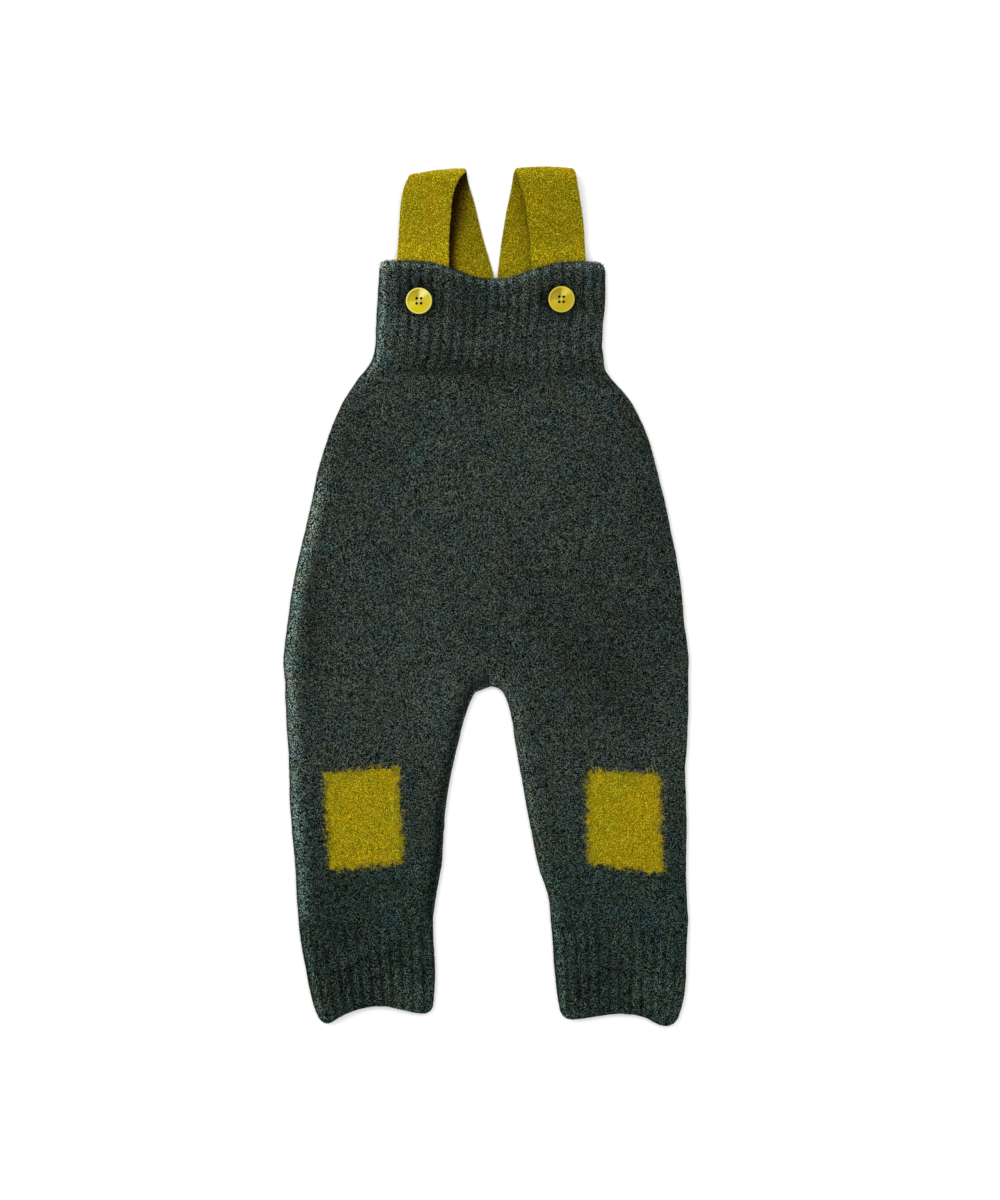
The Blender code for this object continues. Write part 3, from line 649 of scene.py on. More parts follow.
def strip(fine, coarse, ratio):
    """Triangles that close a wall from its outer edge loop to its inner one."""
    faces = []
    turn = (ratio + 1) // 2
    for i in range(len(coarse)):
        a, b = coarse[i], coarse[(i + 1) % len(coarse)]
        for k in range(ratio):
            first = fine[i * ratio + k]
            second = fine[(i * ratio + k + 1) % len(fine)]
            faces.append((second, first, a if k < turn else b))
            if k == turn - 1:
                faces.append((second, a, b))
    return faces


def fill_mesh(name, points, polygons, material):
    """Mesh from an array of points and a list of arrays of faces, each with one corner count."""
    mesh = bpy.data.meshes.new(name)
    mesh.vertices.add(len(points))
    mesh.vertices.foreach_set("co", place(points).astype(np.float32).ravel())
    corners = np.concatenate([faces.ravel() for faces in polygons])
    counts = np.concatenate([np.full(len(faces), faces.shape[1]) for faces in polygons])
    starts = np.concatenate([[0], np.cumsum(counts)[:-1]])
    mesh.loops.add(len(corners))
    mesh.loops.foreach_set("vertex_index", corners.astype(np.int32))
    mesh.polygons.add(len(counts))
    mesh.polygons.foreach_set("loop_start", starts.astype(np.int32))
    mesh.update(calc_edges=True)
    mesh.validate()
    mesh.materials.append(material)
    return mesh


def add_object(name, data):
    made = bpy.data.objects.new(name, data)
    bpy.context.scene.collection.objects.link(made)
    return made


def final_mesh(source):
    """Mesh of an object as its modifiers or its bevel leave it."""
    bpy.context.view_layer.update()
    graph = bpy.context.evaluated_depsgraph_get()
    return bpy.data.meshes.new_from_object(source.evaluated_get(graph))


def shade(mesh, degrees):
    mesh.shade_smooth()
    mesh.set_sharp_from_angle(angle=math.radians(degrees))


def set_values(mesh, name, values):
    attribute = mesh.attributes.new(name, "FLOAT", "POINT")
    attribute.data.foreach_set("value", np.asarray(values, np.float32))


def set_tone(mesh, tone):
    """Tone of the outer points, as a colour to multiply by; the hidden ones keep the middle one."""
    tone = np.asarray(tone)
    if tone.ndim == 1:
        tone = np.repeat(tone[:, None], 3, axis=1)
    rest = np.tile(tone.mean(axis=0), (len(mesh.vertices) - len(tone), 1))
    attribute = mesh.attributes.new("tone", "FLOAT_VECTOR", "POINT")
    values = np.concatenate([tone, rest]).astype(np.float32)
    attribute.data.foreach_set("vector", values.ravel())


def corners_of(points, faces):
    return [points[faces[:, i]] for i in range(4)]


def face_normals(points, faces):
    """Normals as long as twice the area of each face."""
    a, b, c, d = corners_of(points, faces)
    return np.cross(c - a, d - b)


def point_normals(points, faces):
    normal = face_normals(points, faces)
    total = np.zeros_like(points)
    for i in range(4):
        np.add.at(total, faces[:, i], normal)
    return unit(total)


Skin = namedtuple("Skin", "points faces tone room")  # room: from each point to the outline


def shell(name, outer, inner, grids, loops, material, tone, room):
    """Closed wall of green wool: a fine outer skin with the felt's relief, and a plain inner one.

    The grids hold the numbers of the outer points, and each loop runs along an edge of the cloth
    with the cloth on its left, seen from outside.
    """
    faces = np.concatenate([quads(grid) for grid in grids])
    outer = outer + point_normals(outer, faces) * relief(outer)[:, None]
    outer[:, 2] = np.maximum(outer[:, 2], 0.0)
    coarse = [grid[::COARSE, ::COARSE] for grid in grids]
    kept = np.unique(np.concatenate([grid.ravel() for grid in coarse]))
    number = np.full(len(outer), -1)
    number[kept] = len(outer) + np.arange(len(kept))
    inside = [number[quads(grid)][:, ::-1] for grid in coarse]
    closing = []
    for loop in loops:
        closing += strip(loop, number[loop[::COARSE]], COARSE)
    polygons = [faces, np.concatenate(inside), np.array(closing)]
    mesh = fill_mesh(f"{name}_cloth", np.concatenate([outer, inner[kept]]), polygons, material)
    shade(mesh, CLOTH_SHARP)
    set_tone(mesh, tone)
    piece = add_object(f"{name}_cloth", mesh)
    dress(piece, [name])
    return piece, Skin(outer, faces, tone, room)


def dress(piece, nodes):
    """The piece stands for those nodes of the frame."""
    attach(piece, BODY)
    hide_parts(*nodes)


# Materials


def node(tree, kind, inputs=None, **settings):
    made = tree.nodes.new(kind)
    for name, value in settings.items():
        setattr(made, name, value)
    for name, value in (inputs or {}).items():
        if isinstance(value, bpy.types.NodeSocket):
            tree.links.new(value, made.inputs[name])
        else:
            made.inputs[name].default_value = value
    return made


def calc(tree, operation, a, b=0.0, c=0.0):
    return node(
        tree, "ShaderNodeMath", {0: a, 1: b, 2: c}, operation=operation, use_clamp=False
    ).outputs[0]


def mix(tree, share, a, b, how="MIX"):
    """Mix of two colours; sockets 6 and 7 are the node's colour inputs."""
    made = node(tree, "ShaderNodeMix", {0: share}, data_type="RGBA", blend_type=how)
    for socket, value in ((made.inputs[6], a), (made.inputs[7], b)):
        if isinstance(value, bpy.types.NodeSocket):
            tree.links.new(value, socket)
        else:
            socket.default_value = (*value, 1.0)
    return made.outputs[2]


def ramp(tree, share, stops, mode="LINEAR"):
    made = node(tree, "ShaderNodeValToRGB", {0: share})
    made.color_ramp.interpolation = mode
    elements = made.color_ramp.elements
    while len(elements) < len(stops):
        elements.new(0.5)
    for element, (position, colour) in zip(elements, stops):
        element.position = position
        element.color = (*colour, 1.0)
    return made.outputs[0]


def texture(tree, where, size, detail=2.0, roughness=0.6, distortion=0.0):
    """Noise about `size` millimetres apart."""
    made = node(
        tree,
        "ShaderNodeTexNoise",
        {
            "Vector": where,
            "Scale": 1.0 / (size * MM),
            "Detail": detail,
            "Roughness": roughness,
            "Distortion": distortion,
        },
    )
    return made.outputs["Fac"]


def map_range(tree, value, low, high, start, end):
    """`value` from `low` to `high` becomes `start` to `end`, and stays between them beyond."""
    inputs = {0: value, 1: low, 2: high, 3: start, 4: end}
    return node(tree, "ShaderNodeMapRange", inputs, clamp=True).outputs[0]


def vector_calc(tree, operation, a, b=(0.0, 0.0, 0.0), output="Vector"):
    made = node(tree, "ShaderNodeVectorMath", {0: a, 1: b}, operation=operation)
    return made.outputs[output]


def attribute(tree, name, output="Fac"):
    return node(tree, "ShaderNodeAttribute", attribute_name=name).outputs[output]


def object_space(tree):
    return node(tree, "ShaderNodeTexCoord").outputs["Object"]


def new_material(name, finish):
    """Material with one shader, its node tree, and that shader."""
    material = bpy.data.materials.new(name)
    material.use_nodes = True
    shader = material.node_tree.nodes["Principled BSDF"]
    for socket, value in finish.items():
        shader.inputs[socket].default_value = value
    return material, material.node_tree, shader


def strand_colour(tree, wool, share):
    return ramp(tree, share, list(zip(STRAND_STOPS, (wool.dark, wool.middle, wool.light))))


def stroke_lines(tree, where, offset, scale):
    """Thin curling lines, the loose strands of the felt, brighter in some places than in others."""
    moved = vector_calc(tree, "ADD", where, offset)
    level = texture(tree, moved, STRAND * scale, detail=1.0, distortion=0.5)
    away = calc(tree, "ABSOLUTE", calc(tree, "SUBTRACT", level, 0.5))
    line = map_range(tree, away, 0.0, STROKE_WIDTH, 1.0, 0.0)
    share = texture(tree, moved, STRAND * STROKE_STRETCH, detail=1.0)
    return calc(tree, "MULTIPLY", line, map_range(tree, share, 0.35, 0.65, 0.25, 1.0))


def patch_colour(tree, wool, where):
    patches = texture(tree, where, PATCH, detail=4.0, roughness=0.72)
    return ramp(tree, patches, list(zip(PATCH_STOPS, wool.patches)))


def wool_material(name, wool, second=None, fibres=False):
    """Felted mélange wool. `second` takes over inside the knee fields. Fibres have a shade each."""
    material, tree, shader = new_material(name, WOOL_FINISH)
    # Turned, so that no lattice of the noise lies along the garment
    turn = {"Vector": object_space(tree), "Rotation": NOISE_TURN}
    where = node(tree, "ShaderNodeMapping", turn).outputs[0]
    if fibres:
        strand = attribute(tree, "strand")
    else:
        fine = texture(tree, where, GRAIN, detail=1.0)
        strokes = calc(tree, "MAXIMUM", *(stroke_lines(tree, where, *row) for row in STROKES))
        level = calc(tree, "MULTIPLY_ADD", strokes, STROKE_LIGHT, GRAIN_LEVEL)
        strand = calc(tree, "MULTIPLY_ADD", fine, GRAIN_CONTRAST, level)
    colours = []
    for kind in (wool, second):
        if kind:
            own = strand_colour(tree, kind, strand)
            colours.append(mix(tree, 1.0, own, patch_colour(tree, kind, where), "MULTIPLY"))
    tone = attribute(tree, "tone", "Color")
    if wool is GREEN:
        grey = node(tree, "ShaderNodeRGBToBW", {0: tone}).outputs[0]
        tone = mix(tree, map_range(tree, strand, GREY_FROM, 1.0, 0.0, GREY_SHARE), tone, grey)
    colour = mix(tree, 1.0, colours[0], tone, "MULTIPLY")
    if second:
        teeth = calc(tree, "SUBTRACT", texture(tree, where, TEETH_SIZE), 0.5)
        edge = calc(tree, "MULTIPLY_ADD", teeth, TEETH, attribute(tree, "knee"))
        inside = map_range(tree, edge, -TEETH_SOFT, TEETH_SOFT, 0.0, 1.0)
        colour = mix(tree, inside, colour, colours[1])
    tree.links.new(colour, shader.inputs["Base Color"])
    if not fibres:
        inputs = {"Strength": BUMP_STRENGTH, "Distance": BUMP_HEIGHT * MM, "Height": strand}
        bump = node(tree, "ShaderNodeBump", inputs)
        tree.links.new(bump.outputs[0], shader.inputs["Normal"])
    return material


# Fuzz


def tone_at(x, up):
    """Tone of the green wool: the lower legs are the darkest. It holds painted shade and light too.
    """
    share = ease((up - LEG_TONE_UP) / LEG_TONE_FADE)[..., None]
    # Painted shade in the hollows and painted light on the rises
    light = HOLLOW_SHADE * swell(x, up)
    # Painted shade and light of soft folds, with the wool's own darker and lighter stretches
    for row in SHADES:
        beside, above = (x - row.x) / row.reach_x, (up - row.up) / row.reach_up
        light = light + row.strength * np.exp(-(beside**2 + above**2))
    return blend(np.array(LEG_TONE), np.ones(3), share) * 2.0 ** light[..., None]


def rim_light(distance, strength):
    """Tone of the pile where it catches the light beside an edge."""
    light = np.exp(-(((distance - RIM_INSIDE) / RIM_REACH) ** 2)) * ease(distance / RIM_INSIDE)
    return (1.0 + strength * light).ravel()[:, None]


def rib_shade_and_light(ribs, x, up, from_end, tones):
    """Painted shade in the grooves between the ribs, dark here and there, and painted light on the
    ribs; the ribs end softly.
    """
    where = np.stack([x / BREAK_SPREAD, up], axis=-1)
    broken = 0.5 + BREAK_CONTRAST * noise(where, BREAK_LENGTH, BREAK_SEED)
    groove = blend(tones[0], BROKEN_GROOVE_SHADE, np.clip(broken, 0.0, 1.0))
    grooves = blend(groove, tones[1], np.clip(ribs, 0.0, 1.0))
    return blend(1.0, grooves, ease(from_end)).ravel()[:, None]


def knee_distance(x, up):
    """Distance inside the nearest knee field, negative outside it."""
    best = np.full(np.shape(x), -FAR)
    for corners in KNEES:
        inside = np.full(np.shape(x), FAR)
        for (ax, ay), (bx, by) in zip(corners, corners[1:] + corners[:1]):
            length = math.hypot(bx - ax, by - ay)
            side = ((bx - ax) * (up - ay) - (by - ay) * (x - ax)) / length
            inside = np.minimum(inside, side)
        best = np.maximum(best, inside)
    return best


def on_trunk(points):
    return (points[:, 1] >= CROTCH_UP).astype(float)


def on_legs(points):
    border = np.exp(-((knee_distance(points[:, 0], points[:, 1]) / KNEE_BORDER) ** 2))
    return (points[:, 1] < CROTCH_UP) * (1.0 + KNEE_FUZZ * border)


def on_rim(points):
    below = rim_at(BIB.rim, points[:, 0]) - points[:, 1]
    return np.exp(-((below / RIM_FUZZ) ** 2)) * (points[:, 2] > MIDDLE)


def fuzz(name, skin, material, where=None, knees=False, drift=None):
    """Loose fibres, each a thin bent spindle that leaves the felt and lies over it.

    They are short and few where the cloth turns down, unless they drift that way.
    """
    count, seed, length = FUZZ[name]
    random = np.random.default_rng(seed)
    a, b, c, d = corners_of(skin.points, skin.faces)
    normal = np.cross(c - a, d - b)
    weight = np.linalg.norm(normal, axis=1) * (where((a + c) / 2) if where else 1.0)
    normal = unit(normal)
    if drift is None:
        weight = weight * blend(STEEP_COUNT, 1.0, np.abs(normal[:, 2]))
    chosen = random.choice(len(weight), count, p=weight / weight.sum())
    u, v = random.random((2, count, 1))
    low, high = blend(a[chosen], b[chosen], u), blend(d[chosen], c[chosen], u)
    root = blend(low, high, v)
    n = normal[chosen]
    along = unit(np.cross(n, random.normal(size=(count, 3))))
    turn = np.cross(n, along)
    size = random.uniform(*length, (count, 1))
    if drift is None:
        room = skin.room[skin.faces[chosen]].min(axis=1)[:, None]
        size = np.minimum(size * blend(STEEP_LENGTH, 1.0, np.abs(n[:, 2:])), room + HALO)
    else:
        along = unit(along + drift)
    rise = FIBRE_LIFT * random.random((count, 1)) ** 1.5
    curl = random.normal(0.0, FIBRE_CURL, (count, 1))
    middle = root + (along * 0.5 + turn * curl * FIBRE_BEND) * size + n * (rise + FIBRE_CLEAR[0])
    tip_rise = rise * random.uniform(*FIBRE_TIPS, (count, 1))
    tip = root + (along * 0.9 + turn * curl) * size + n * (tip_rise + FIBRE_CLEAR[1])
    root = root - n * FIBRE_ROOT
    for points in (root, middle, tip):
        points[:, 2] = np.maximum(points[:, 2], FIBRE_ROOT)
    axis = unit(tip - root)
    first = unit(np.cross(axis, n + 0.01))
    second = np.cross(axis, first)
    half = FIBRE_WIDTH / 2 * random.uniform(*FIBRE_WIDTHS, (count, 1))
    ring = []
    for angle in (0.0, THIRD, 2 * THIRD):
        ring.append(middle + (first * math.cos(angle) + second * math.sin(angle)) * half)
    corners = [root, *ring, tip]
    points = np.stack(corners, axis=1).reshape(-1, 3)
    pattern = np.array([(0, 2, 1), (0, 3, 2), (0, 1, 3), (4, 1, 2), (4, 2, 3), (4, 3, 1)])
    faces = (np.arange(count)[:, None, None] * len(corners) + pattern).reshape(-1, 3)
    mesh = fill_mesh(name, points, [faces], material)
    strand = np.clip(random.normal(STRAND_MIDDLE, STRAND_SPREAD, count), 0.0, 1.0)
    bright = random.random(count) < BRIGHT_SHARE
    strand[bright] = random.uniform(*BRIGHT, bright.sum())
    set_values(mesh, "strand", np.repeat(strand, len(corners)))
    set_tone(mesh, np.repeat(skin.tone[skin.faces[chosen, 0]], len(corners), axis=0))
    if knees:
        inside = knee_distance(root[:, 0], root[:, 1])
        set_values(mesh, "knee", np.repeat(inside, len(corners)))
    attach(add_object(name, mesh), BODY)


# Body


def section_rows(first, last, count):
    """Section numbers for evenly spaced rows from one section to another."""
    numbers = np.arange(len(SECTIONS), dtype=float)
    dense = np.linspace(first, last, 2000)
    up = smooth(numbers, column(SECTIONS, "side_up"), dense)
    up = up + smooth(numbers, column(SECTIONS, "inner_up"), dense)
    return np.interp(np.linspace(up[0], up[-1], count + 1), up, dense)


def half_body(side, inner, rows, between):
    """Grid of flat points of half a body, from its side to its inseam or centre line."""
    numbers = np.arange(len(SECTIONS), dtype=float)
    at = {name: smooth(numbers, column(SECTIONS, name), rows) for name in Section._fields}
    joined = rows >= CROTCH
    inner_x = np.where(joined, CENTRE, at[inner])
    start = np.stack([at[side], at["side_up"]], axis=-1)
    end = np.stack([inner_x, at["inner_up"]], axis=-1)
    width = np.linalg.norm(end - start, axis=1)
    apart = across(width, between)
    count = apart.shape[1] - len(EDGE_STEPS)
    even = blend(EDGE, width[:, None], np.arange(1, count + 1) / count)
    spread = ease((at["inner_up"] - SECTIONS[CROTCH].inner_up) / FAN)[:, None]
    tail = blend(apart[:, len(EDGE_STEPS) :], even, np.where(joined[:, None], spread, 0.0))
    share = np.concatenate([apart[:, : len(EDGE_STEPS)], tail], axis=1) / width[:, None]
    return start[:, None, :] + (end - start)[:, None, :] * share[:, :, None]


def build_body(name, front, material):
    crotch_row = LEG_ROWS[front]
    rows = np.concatenate(
        [
            section_rows(0, CROTCH, crotch_row)[:-1],
            section_rows(CROTCH, len(SECTIONS) - 1, TRUNK_ROWS[front]),
        ]
    )
    left = half_body("left", "left_inner", rows, HALF_COLUMNS[front])
    right = half_body("right", "right_inner", rows, HALF_COLUMNS[front])
    shape = left.shape[:2]
    left_grid = np.arange(left[..., 0].size).reshape(shape)
    right_grid = np.zeros(shape, int)
    own = np.ones(shape, bool)
    own[crotch_row:, -1] = False
    right_grid[own] = left_grid.size + np.arange(own.sum())
    right_grid[crotch_row:, -1] = left_grid[crotch_row:, -1]
    flat = np.concatenate([left.reshape(-1, 2), right[own]])
    inseam = np.concatenate([left[: crotch_row + 1, -1], right[crotch_row - 1 :: -1, -1]])
    left_distance, right_distance = distance_to(left[:, 0], flat), distance_to(right[:, 0], flat)
    side_distance = np.minimum(left_distance, right_distance)
    seam_distance = distance_to(inseam, flat)
    distance = np.minimum(side_distance, seam_distance)
    x, up = flat[:, 0], flat[:, 1]
    towards = np.where(x < CENTRE, 1.0, -1.0)
    inward = np.where(seam_distance < side_distance, -towards, towards)
    outer, inner = wall_points(x, up, inward, distance, front)
    loop = np.concatenate(
        [
            left_grid[0, :-1],
            left_grid[:crotch_row, -1],
            right_grid[crotch_row:0:-1, -1],
            right_grid[0, :0:-1],
            right_grid[:-1, 0],
            right_grid[-1, :-1],
            left_grid[-1, :0:-1],
            left_grid[:0:-1, 0],
        ]
    )
    grids = [left_grid, right_grid[:, ::-1]]
    tone = tone_at(x, up)
    if not front:
        grids = [grid[:, ::-1] for grid in grids]
        loop = np.roll(loop[::-1], 1)
        return shell(name, outer, inner, grids, [loop], material, tone, distance)
    lit = np.where(left_distance < right_distance, np.interp(up, *RIM_LEFT), RIM_SIDE)
    lit = np.where(seam_distance < side_distance, np.where(x < CENTRE, *RIM_SEAMS), lit)
    tone = tone * rim_light(distance, lit)
    piece, skin = shell(name, outer, inner, grids, [loop], material, tone, distance)
    hidden = np.full(len(piece.data.vertices) - len(x), -FAR)
    set_values(piece.data, "knee", np.concatenate([knee_distance(x, up), hidden]))
    return piece, skin


# Bands and cuffs


def over_straps(x, up):
    """How far the front lies over a strap, from 0 to 1."""
    share = np.zeros(np.shape(x))
    for table in STRAPS.values():
        behind = table[:BEHIND]
        left = smooth(column(behind, "left_up"), column(behind, "left"), up)
        right = smooth(column(behind, "right_up"), column(behind, "right"), up)
        beside = np.maximum(np.maximum(left - x, x - right), 0.0)
        below = np.maximum(behind[0].left_up - up, 0.0)
        share = np.maximum(share, 1.0 - ease(np.hypot(beside, below) / DRAPE))
    return share


def pulled(x, up):
    """How far the sewn buttons pull the band down."""
    total = np.zeros(np.shape(x))
    for button_x, button_up in BUTTONS.values():
        away = np.hypot(x - button_x, up - button_up)
        total += np.exp(-((away / PULL_RADIUS) ** 4))
    return total * PULL_DEPTH


def ribbed_wall(band, shares, upper, rows, drop=0.0):
    """Outer and inner points, grid, tone and room of a wall, from its free edge to its joined one.

    The shares are those of its columns across its width.
    """
    free = band.sides[-1]
    width = free.right - free.left
    from_side = np.minimum(shares, 1.0 - shares)
    edge = rim_at(band.rim, blend(free.left, free.right, shares)) - drop
    onward = np.sign(band.end - edge)
    edge = edge + onward * corner_cut(from_side * width, band.corner)
    close = edge + onward * np.array(LIP_STEPS)[:, None]
    rest = blend(edge + onward * LIP, band.end, np.linspace(0.0, 1.0, rows + 1)[1:, None])
    up = np.concatenate([close, rest])
    left, right = side_at(band.sides, "left", up), side_at(band.sides, "right", up)
    x = blend(left, right, shares)
    distance = from_side * (right - left)
    from_edge = np.abs(up - edge)
    from_end = np.abs(up - band.end) / RIB_FADE
    ribs = rib(shares * band.ribs + 0.0 * x, x, up, band.seed) * ease(from_end)
    ribs = ribs - pulled(x, up) / RIB_RISE
    inward = np.where(shares < 0.5, 1.0, -1.0) + 0.0 * x
    upper = np.broadcast_to(upper, up.shape)
    outer, inner = wall_points(
        x, up, inward, distance, upper, lip(from_edge), ribs, over_straps(x, up)
    )
    # Painted shade in the grooves and painted light on the ribs
    tone = rib_shade_and_light(ribs, x, up, from_end, band.tones)
    tone = tone * tone_at(x.ravel(), up.ravel())
    tone = tone * rim_light(distance, np.where(inward > 0.0, band.lit, RIM_SIDE))
    tone = tone * rim_light(RIM_TOP * from_edge, band.lit_rim)
    grid = np.arange(x.size).reshape(x.shape)
    return outer, inner, grid, tone, np.minimum(distance, from_edge).ravel()


def build_band(name, front, material):
    free = BIB.sides[-1]
    width = free.right - free.left
    shares = across(width, BAND_COLUMNS[front]) / width
    drop = 0.0 if front else BACK_BAND_DROP
    outer, inner, grid, tone, room = ribbed_wall(BIB, shares, front, BAND_ROWS[front], drop)
    loop = np.concatenate([grid[0, :0:-1], grid[:-1, 0], grid[-1, :-1], grid[:0:-1, -1]])
    if front:
        grid = grid[:, ::-1]
    else:
        loop = np.roll(loop[::-1], 1)
    return shell(name, outer, inner, [grid], [loop], material, tone, room)


def build_cuff(name, cuff, material):
    free = cuff.sides[-1]
    width = free.right - free.left
    above, below = [across(width, count)[:-1] / width for count in CUFF_COLUMNS]
    shares = np.concatenate([above, 1.0 - below])
    upper = np.arange(len(shares)) < len(above)
    outer, inner, grid, tone, room = ribbed_wall(cuff, shares, upper, CUFF_ROWS)
    ring = np.concatenate([grid, grid[:, :1]], axis=1)
    loops = [grid[0], np.roll(grid[-1][::-1], 1)]
    return shell(name, outer, inner, [ring], loops, material, tone, room)


# Straps


def strap_tone(name, table, points, rows):
    """Painted brown shade in the fold under the front part, painted light, and the strap's tone."""
    fold = FOLDS[name]
    rows = np.concatenate([rows, rows])
    facing = np.arange(len(rows)) >= len(rows) // 2  # the side that is inside the fold
    behind = facing & (rows > TURN_ROW + FOLD_START)
    x, up = points[:, 0], points[:, 1]
    front = table[: int(TURN_ROW)]
    side, outward = ("right", 1.0) if name == "strap_left" else ("left", -1.0)
    # Painted shade inside the fold, beside the edge of the part in front
    edge = smooth(column(front, f"{side}_up"), column(front, side), up)
    gap = np.maximum((x - edge) * outward, 0.0)
    reach = blend(FOLD_REACH_LOW, fold.reach, ease((up - FOLD_LOW) / FOLD_RISE))
    share = np.where(behind, np.exp(-((gap / reach) ** 3)), 0.0) * fold.depth
    light = np.where(behind, fold.inside, 1.0)
    # Painted light at the turn, above the bib and at the lower end behind
    for row, length, strength in PAINTED_STRAP_LIGHTS:
        light = light + strength * np.exp(-(((rows - row) / length) ** 2))
    tone = blend(np.ones(3), np.array(FOLD_SHADE_COLOUR), share[:, None])
    return tone * fold.tone * light[:, None]


def build_strap(name, table, material):
    numbers = np.arange(len(table), dtype=float)
    rows = np.linspace(0.0, len(table) - 1, (len(table) - 1) * STRAP_ROWS + 1)
    at = {field: smooth(numbers, column(table, field), rows) for field in Across._fields}
    left = np.stack([at["left"], at["left_up"], at["left_z"]], axis=-1)
    right = np.stack([at["right"], at["right_up"], at["right_z"]], axis=-1)
    width = np.linalg.norm(right - left, axis=1).mean()
    steps = np.array(STRAP_EDGE_STEPS)
    inside = np.linspace(STRAP_EDGE, width - STRAP_EDGE, STRAP_COLUMNS + 1)[1:-1]
    distances = np.concatenate([steps, inside, width - steps[::-1]])
    from_side = np.minimum(distances, width - distances)
    shares = distances / width
    middle = left[:, None, :] + (right - left)[:, None, :] * shares[None, :, None]
    bulge = np.exp(-(((rows - TURN_ROW) / TURN_REACH) ** 2)) * TURN_BULGE
    middle[..., 1] += bulge[:, None] * 4.0 * shares * (1.0 - shares)
    last = middle[-1]
    last[:, 1] = rim_at(BIB.rim, last[:, 0]) - BACK_BAND_DROP + SEAM
    middle[..., 2] = np.maximum(middle[..., 2], STRAP_WALL / 2)
    normal = unit(np.cross(np.gradient(middle, axis=1), np.gradient(middle, axis=0)))
    thick = blend(STRAP_EDGE_WALL, 1.0, quarter(from_side / STRAP_EDGE))
    offset = normal * (thick * STRAP_WALL / 2)[None, :, None]
    outer, inner = (middle + offset).reshape(-1, 3), (middle - offset).reshape(-1, 3)
    grid = np.arange(len(outer)).reshape(middle.shape[:2])
    faces = quads(grid)
    outer = outer + point_normals(outer, faces) * relief(outer)[:, None] * STRAP_RELIEF
    inner = inner - point_normals(inner, faces) * relief(inner)[:, None] * STRAP_RELIEF
    points = np.concatenate([outer, inner])
    points[:, 2] = np.maximum(points[:, 2], 0.0)
    loop = np.concatenate([grid[0, :-1], grid[:-1, -1], grid[-1, :0:-1], grid[:0:-1, 0]])
    closing = np.array(strip(loop, loop + len(outer), 1))
    back = faces[:, ::-1] + len(outer)
    mesh = fill_mesh(f"{name}_cloth", points, [faces, back, closing], material)
    shade(mesh, STRAP_SHARP)
    tone = strap_tone(name, table, points, np.repeat(rows, middle.shape[1]))
    set_tone(mesh, tone)
    piece = add_object(f"{name}_cloth", mesh)
    dress(piece, [name])
    from_turn = np.abs(middle[..., 1] - middle[..., 1].max())
    room = np.minimum(from_side, from_turn).ravel()
    return piece, Skin(points, np.concatenate([faces, back]), tone, np.concatenate([room, room]))


# Buttons


def button_material():
    """Horn that changes tone round the button, with painted reflections and shade, a painted
    highlight on its rim and painted shade in its holes.
    """
    material, tree, shader = new_material("button", HORN_FINISH)
    where = object_space(tree)
    parts = node(tree, "ShaderNodeSeparateXYZ", {0: where}).outputs
    clouds = texture(tree, where, HORN_CLOUDS, detail=3.0, distortion=1.0)
    turn = calc(tree, "ARCTAN2", parts[1], parts[0])
    turn = calc(tree, "MULTIPLY_ADD", turn, 1.0 / (2.0 * math.pi), 0.5)
    turn = calc(tree, "MULTIPLY_ADD", calc(tree, "SUBTRACT", clouds, 0.5), HORN_SWAY, turn)
    # Painted reflections and painted shade round the button, over the horn's own tone
    horn_and_reflections = ramp(tree, turn, HORN_AND_REFLECTION_SECTORS)
    # Painted highlight on the rim
    away, rim = flat_length(tree, where), (RIM_HIGHLIGHT_FROM * MM, RIM_HIGHLIGHT_TO * MM)
    rim = map_range(tree, away, *rim, 0.0, RIM_HIGHLIGHT_SHARE)
    tone = attribute(tree, "tone", "Color")
    horn = mix(tree, 1.0, mix(tree, rim, horn_and_reflections, HORN_RIM_HIGHLIGHT), tone, "MULTIPLY")
    hole = mix(tree, beside_holes(tree, where), HOLE_SHADE, horn)
    tree.links.new(hole, shader.inputs["Base Color"])
    return material


def flat_length(tree, vector):
    flat = vector_calc(tree, "MULTIPLY", vector, (1.0, 1.0, 0.0))
    return vector_calc(tree, "LENGTH", flat, output="Value")


def beside_holes(tree, where):
    """0 on the walls of the holes, 1 on the rest of the button."""
    hole_x, hole_y = HOLE_PLACES[-1]
    corner = vector_calc(tree, "ABSOLUTE", where)
    offset = vector_calc(tree, "SUBTRACT", corner, (hole_x * MM, hole_y * MM, 0.0))
    edge = HOLE_RADIUS * MM
    return map_range(tree, flat_length(tree, offset), edge, HOLE_SOFT * edge, 0.0, 1.0)


def thread_material():
    material, tree, shader = new_material("thread", THREAD_FINISH)
    twist = texture(tree, object_space(tree), THREAD_TWIST, detail=1.0)
    tree.links.new(ramp(tree, twist, THREAD_STOPS), shader.inputs["Base Color"])
    return material


def turned(profile, sides):
    """Points and faces of a profile turned about z; its ends lie on the axis."""
    angles = np.arange(sides) * 2 * math.pi / sides
    inside = profile[1:-1]
    points = [(r * math.cos(turn), r * math.sin(turn), z) for r, z in inside for turn in angles]
    points += [(0.0, 0.0, profile[0][1]), (0.0, 0.0, profile[-1][1])]
    bottom, top = len(points) - 2, len(points) - 1
    numbers = np.arange(bottom).reshape(len(inside), sides)
    rings = np.concatenate([numbers, numbers[:, :1]], axis=1)
    faces = quads(rings).tolist()
    for i in range(sides):
        faces.append((rings[0, i + 1], rings[0, i], bottom))
        faces.append((rings[-1, i], rings[-1, i + 1], top))
    return points, faces


